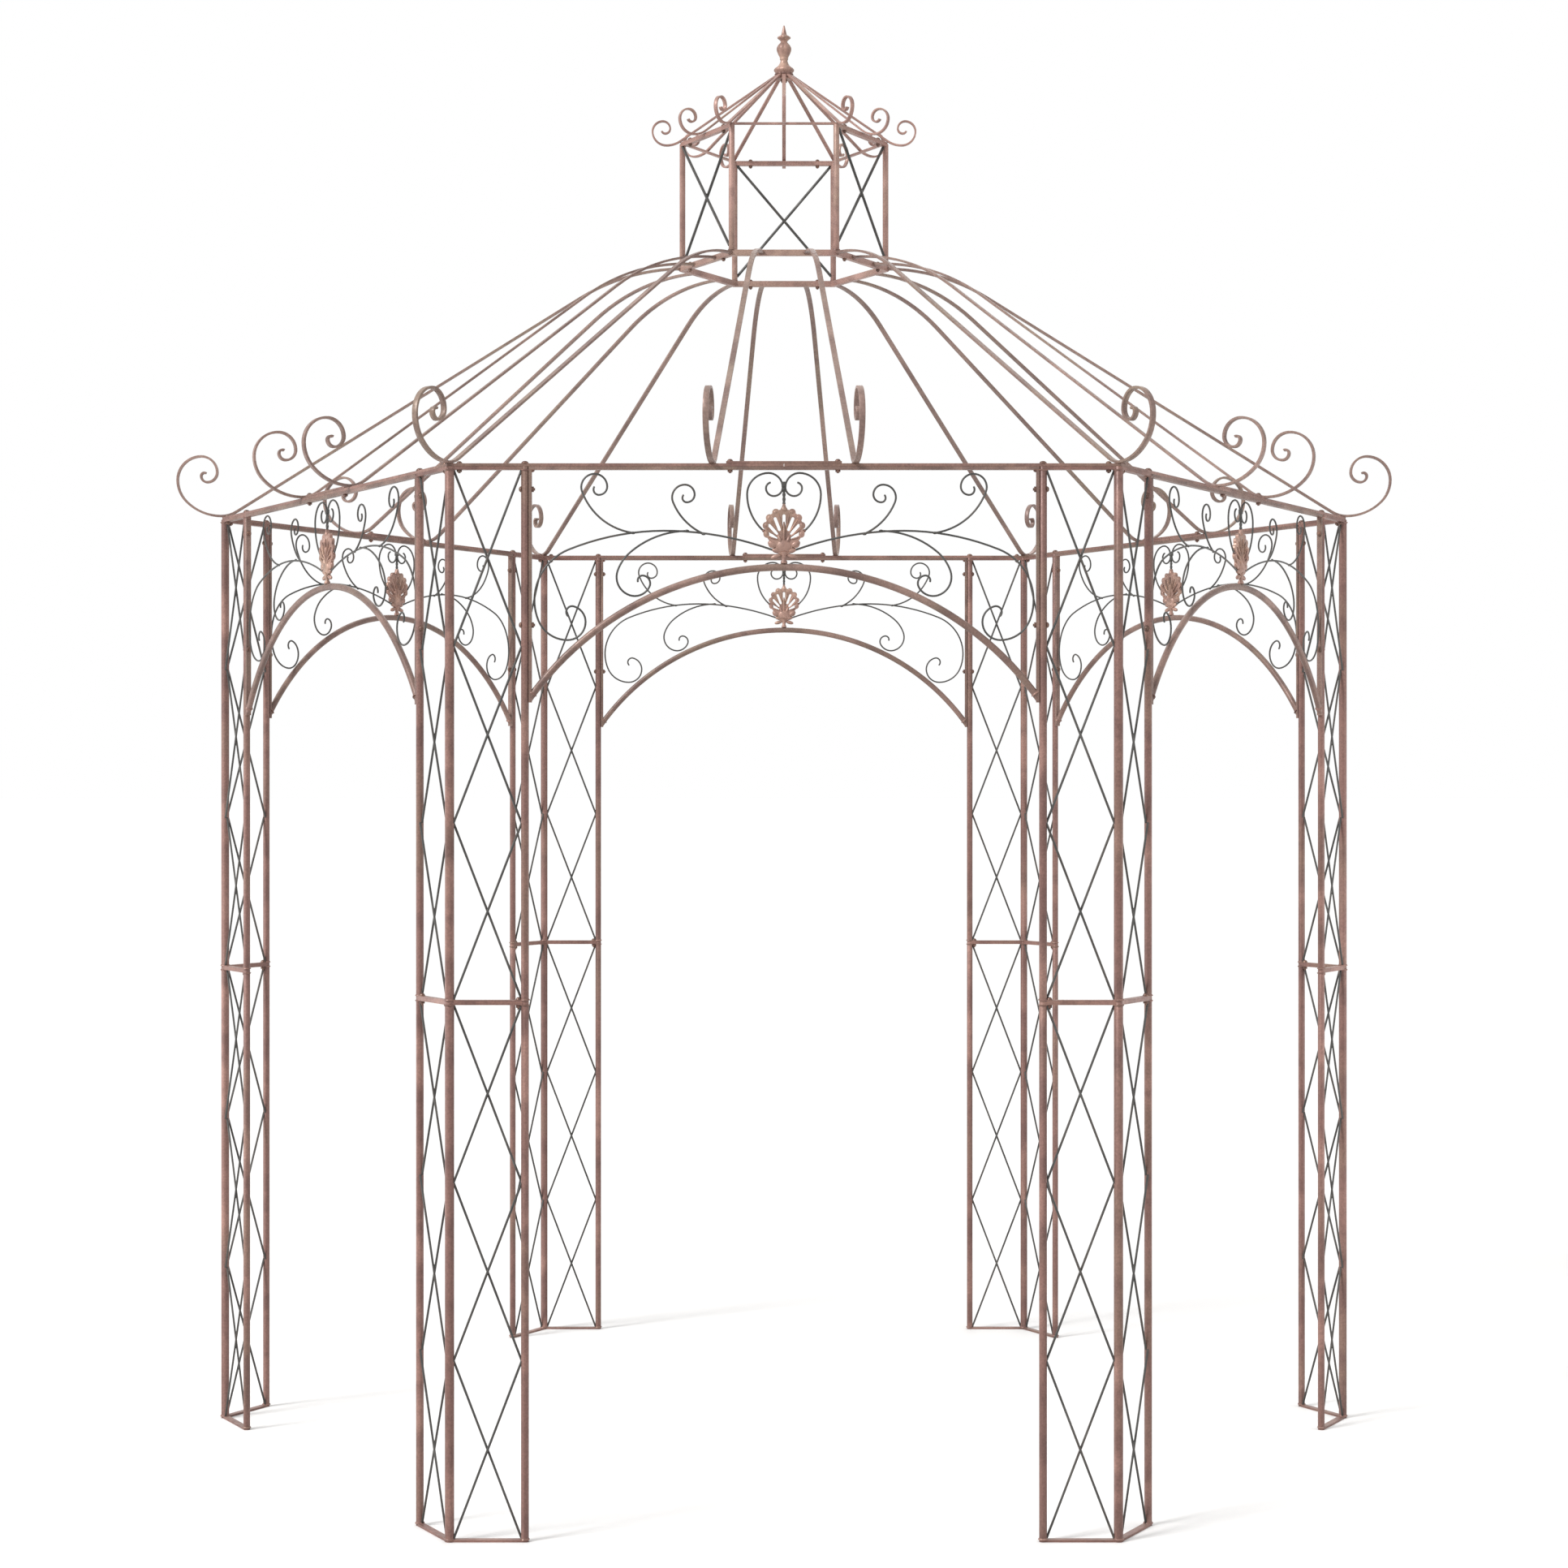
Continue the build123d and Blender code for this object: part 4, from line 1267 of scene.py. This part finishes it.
@dataclass
class RoofFittings:
    """Bolts, wires and welds of the eave, the upper ring and the cupola."""

    layout: Layout
    bolt: DomeBolt = DomeBolt()
    cap: DomeBolt = DomeBolt(head_radius=0.0074, head_height=0.0046, washer_radius=0.0082)
    splice_bolt_x: float = 0.110
    corner_bolt_inset: float = 0.020
    jack_eave_x: float = 0.146
    jack_ring_x: float = 0.053
    cupola_bolt: DomeBolt = DomeBolt(
        head_radius=0.0050, head_height=0.0036, washer_radius=0.0058, nut_radius=0.0054
    )
    cupola_bolt_x: float = 0.084
    cupola_post_radius: float = 0.007
    cupola_wire_radius: float = 0.0034
    cupola_wire_foot: float = 0.012
    crossing_weld: Size = (0.0040, 0.0046, 0.0046)
    eave_weld_rise: float = 0.001
    jack_eave_weld: Size = (0.0085, 0.0060, 0.0020)
    corner_eave_weld: Size = (0.0085, 0.0085, 0.0022)
    jack_ring_gap: float = 0.0075
    jack_ring_weld: Size = (0.0082, 0.0020, 0.0048)
    corner_ring_gap: float = 0.0078
    corner_ring_weld: Size = (0.0070, 0.0070, 0.0045)
    hub_reach: float = 0.0205
    hub_weld_rise: float = 0.0125
    hub_weld: Size = (0.0056, 0.0026, 0.0034)

    def eave_bolts(self) -> BMesh:
        """Bolts the splice plates, the side tubes' tops and the bars beside the corners.

        Returns:
            The bolts.
        """
        line = self.layout
        bm = bmesh.new()
        under = line.column_top - line.top_bar_thickness
        fit_pairs(bm, -line.apothem, (
            (self.bolt, self.splice_bolt_x, line.splice_top, line.splice_top - under),
            (self.cap, line.side_tube_x, line.eave_top, 0),
            (self.bolt, line.half_side - self.corner_bolt_inset, line.eave_top, line.eave_top - under),
        ))
        stand_on(bm)
        return bm

    def cupola_bolts(self) -> BMesh:
        """Bolts the cupola's panels to the upper ring and its own ring to their top bars.

        Returns:
            The bolts.
        """
        line = self.layout
        bm = bmesh.new()
        bolt, x = self.cupola_bolt, self.cupola_bolt_x
        top_grip = line.cupola_top - line.cupola_panel_top + line.top_bar_thickness
        fit_pairs(bm, -line.ring_apothem, (
            (bolt, x, line.ring_top, line.ring_top - line.ring_bottom), (bolt, x, line.cupola_top, top_grip)
        ))
        stand_on(bm, PANELLED_SIDES)
        return bm

    def cupola_wires(self) -> BMesh:
        """Strings two crossed wires in each of the cupola's panels, one lying over the other.

        Returns:
            The wires.
        """
        line = self.layout
        bm = bmesh.new()
        reach = line.ring_radius / 2 - self.cupola_post_radius + line.wire_bite
        low = Vector((-reach, -line.ring_apothem, line.ring_top + self.cupola_wire_foot))
        high = Vector((reach, -line.ring_apothem, line.cupola_panel_top - line.top_bar_thickness))
        crossed_wires(bm, low, high, self.cupola_wire_radius, self.crossing_weld)
        stand_on(bm, PANELLED_SIDES)
        return bm

    def welds(self) -> BMesh:
        """Lays weld where rafters cross the eave and meet the ring and the hub, and under the posts.

        Returns:
            The welds.
        """
        line = self.layout
        bm = bmesh.new()
        eave = line.eave_top + self.eave_weld_rise
        ring = (line.ring_top + line.ring_bottom) / 2
        half = Matrix.Rotation(SIXTH / 2, 3, "Z")
        spots = [
            (half @ Vector((0, -line.corner_radius, eave)), self.corner_eave_weld),
            (half @ Vector((0, -line.ring_radius - self.corner_ring_gap, ring)), self.corner_ring_weld),
        ]
        for side in (-1, 1):
            jack_ring = Vector((side * self.jack_ring_x, -line.ring_apothem - self.jack_ring_gap, ring))
            spots.append((Vector((side * self.jack_eave_x, -line.apothem, eave)), self.jack_eave_weld))
            spots.append((jack_ring, self.jack_ring_weld))
        for spot, size in spots:
            swollen(bm, facing(spot, UP), size, sides=10)
        WeldBead().lay(bm, half @ Vector((0, -line.ring_radius, line.ring_top)), UP, self.cupola_post_radius)
        hub = Vector((0, -self.hub_reach, line.hub_bottom + self.hub_weld_rise))
        for step in (0.0, 0.5):
            swollen(bm, turned(step) @ Matrix.Translation(hub), self.hub_weld, sides=10)
        stand_on(bm)
        return bm

    def build(self, coats: Coats) -> None:
        """Makes the fittings.

        Args:
            coats: The finished materials by name.
        """
        finished_piece("eave_bolts", self.eave_bolts(), coats["fasteners"])
        finished_piece("cupola_bolts", self.cupola_bolts(), coats["fasteners"])
        finished_piece("cupola_wires", self.cupola_wires(), coats["wires"], ["cupola_lattice"])
        finished_piece("roof_welds", self.welds(), coats["welds"])


# ---- Carried-over metalwork ----


@dataclass(frozen=True)
class Metalwork:
    """CAD nodes that stay: which coat they take and how far their edges are rounded."""

    prefix: str
    coat: str
    rounding: float
    edge_angle: float = 40.0

    def dress(self, coats: Coats) -> None:
        """Coats every node of this kind and rounds its edges.

        Args:
            coats: The finished materials by name.
        """
        for name, node in frame["nodes"].items():
            if not name.startswith(self.prefix) or node.hide_render:
                continue
            for slot in node.material_slots:
                slot.material = coats[self.coat]
            join = node.modifiers.new("joined_faces", "WELD")
            join.merge_threshold = SAME_SPOT
            edge = node.modifiers.new("rounded_edges", "BEVEL")
            edge.width, edge.segments, edge.profile = self.rounding, 2, 0.5
            edge.limit_method = "ANGLE"
            edge.angle_limit = math.radians(self.edge_angle)
            edge.harden_normals = True
            log.info("%s: coated as %s", name, self.coat)


METALWORK = (
    Metalwork("column_lower", "columns", 0.0006),
    Metalwork("column_upper", "columns", 0.0006),
    Metalwork("arch_", "arches", 0.0007),
    Metalwork("eave_bars", "eaves", 0.0008),
    Metalwork("eave_splices", "eaves", 0.0007),
    Metalwork("rafters", "rafters", 0.0010),
    Metalwork("upper_ring", "cupola", 0.0014),
    Metalwork("cupola_panels", "cupola", 0.0009),
    Metalwork("cupola_ring", "cupola", 0.0007),
    Metalwork("cupola_rafters", "cupola", 0.0008),
)


# ---- Studio ----


@dataclass
class Studio:
    """A plain pale floor, soft lights and the camera."""

    floor_size: float = 900.0
    floor_cuts: int = 12
    surround: float = 1.0
    camera_place: Size = (0.0, -7.1735, 1.5348)
    lens: float = 67.42
    sensor_width: float = 36.0
    rise: float = 0.0034
    lights: tuple[tuple[str, Size, float, float], ...] = (
        ("fill_light", (5.5, -4.5, 3.5), 4.0, 45.0),
        ("back_light", (1.0, 6.5, 6.0), 4.0, 60.0),
        ("left_side_light", (-2.3, -0.4, 1.1), 1.6, 14.0),
        ("right_side_light", (2.3, -0.4, 1.1), 1.6, 12.0),
    )
    sun_power: float = 3.4
    sun_spread: float = 16.0
    sun_from: Size = (-0.80, -0.55, 0.75)

    def lay_floor(self) -> None:
        """Lays the floor at the pavilion's feet."""
        bm = bmesh.new()
        cuts = self.floor_cuts
        bmesh.ops.create_grid(bm, x_segments=cuts, y_segments=cuts, size=self.floor_size / 2)
        mesh = bpy.data.meshes.new("studio_floor")
        bm.to_mesh(mesh)
        bm.free()
        mesh.materials.append(StudioPaint().material())
        floor = bpy.data.objects.new("studio_floor", mesh)
        bpy.context.scene.collection.objects.link(floor)

    def hold(self, data: bpy.types.ID, place: Sequence[float], turn: Sequence[float]) -> bpy.types.Object:
        """Puts a light or the camera in the scene.

        Args:
            data: The light or camera.
            place: Where it goes.
            turn: How it is turned.

        Returns:
            Its holder.
        """
        holder = bpy.data.objects.new(data.name, data)
        holder.location = place
        holder.rotation_euler = turn
        bpy.context.scene.collection.objects.link(holder)
        return holder

    def light(self) -> None:
        """Hangs the soft lights and the sun and sets the white surround."""
        aim = (CAD_BOX[0] + CAD_BOX[1]) / 2
        for name, place, size, power in self.lights:
            lamp = bpy.data.lights.new(name, "AREA")
            lamp.size, lamp.energy = size, power
            turn = (Vector(place) - aim).to_track_quat("Z", "Y").to_euler()
            self.hold(lamp, place, turn).visible_camera = False
        key = bpy.data.lights.new("key_light", "SUN")
        key.energy, key.angle = self.sun_power, math.radians(self.sun_spread)
        self.hold(key, (0, 0, 0), Vector(self.sun_from).to_track_quat("Z", "Y").to_euler())
        world = bpy.data.worlds.new("pale_surround")
        world.use_nodes = True
        backdrop = world.node_tree.nodes["Background"]
        backdrop.inputs["Color"].default_value = (1, 1, 1, 1)
        backdrop.inputs["Strength"].default_value = self.surround
        bpy.context.scene.world = world

    def place_camera(self) -> None:
        """Stands the camera in front of the pavilion at eye height, looking level."""
        camera = bpy.data.cameras.new("camera")
        camera.lens, camera.sensor_width, camera.shift_y = self.lens, self.sensor_width, self.rise
        bpy.context.scene.camera = self.hold(camera, self.camera_place, (math.pi / 2, 0, 0))

    def build(self) -> None:
        """Makes the whole studio."""
        self.lay_floor()
        self.light()
        self.place_camera()
        bpy.context.scene.view_settings.view_transform = "Standard"
        bpy.context.scene.view_settings.look = "None"


def main() -> None:
    """Builds the studio, the new pieces and the coats of the carried-over metalwork, in order."""
    logging.basicConfig(level=logging.INFO, format="%(name)s: %(message)s")
    Studio().build()
    effects = EffectLibrary()
    coats = {name: finish.material(effects) for name, finish in FINISHES.items()}
    layout = Layout.read()
    Column(layout).build(coats)
    ArchPanel(layout).build(coats)
    ShellCasting(layout).build(coats)
    FinialCasting(layout).build(coats)
    RoofFittings(layout).build(coats)
    for metalwork in METALWORK:
        metalwork.dress(coats)


if __name__ == "__main__":
    main()
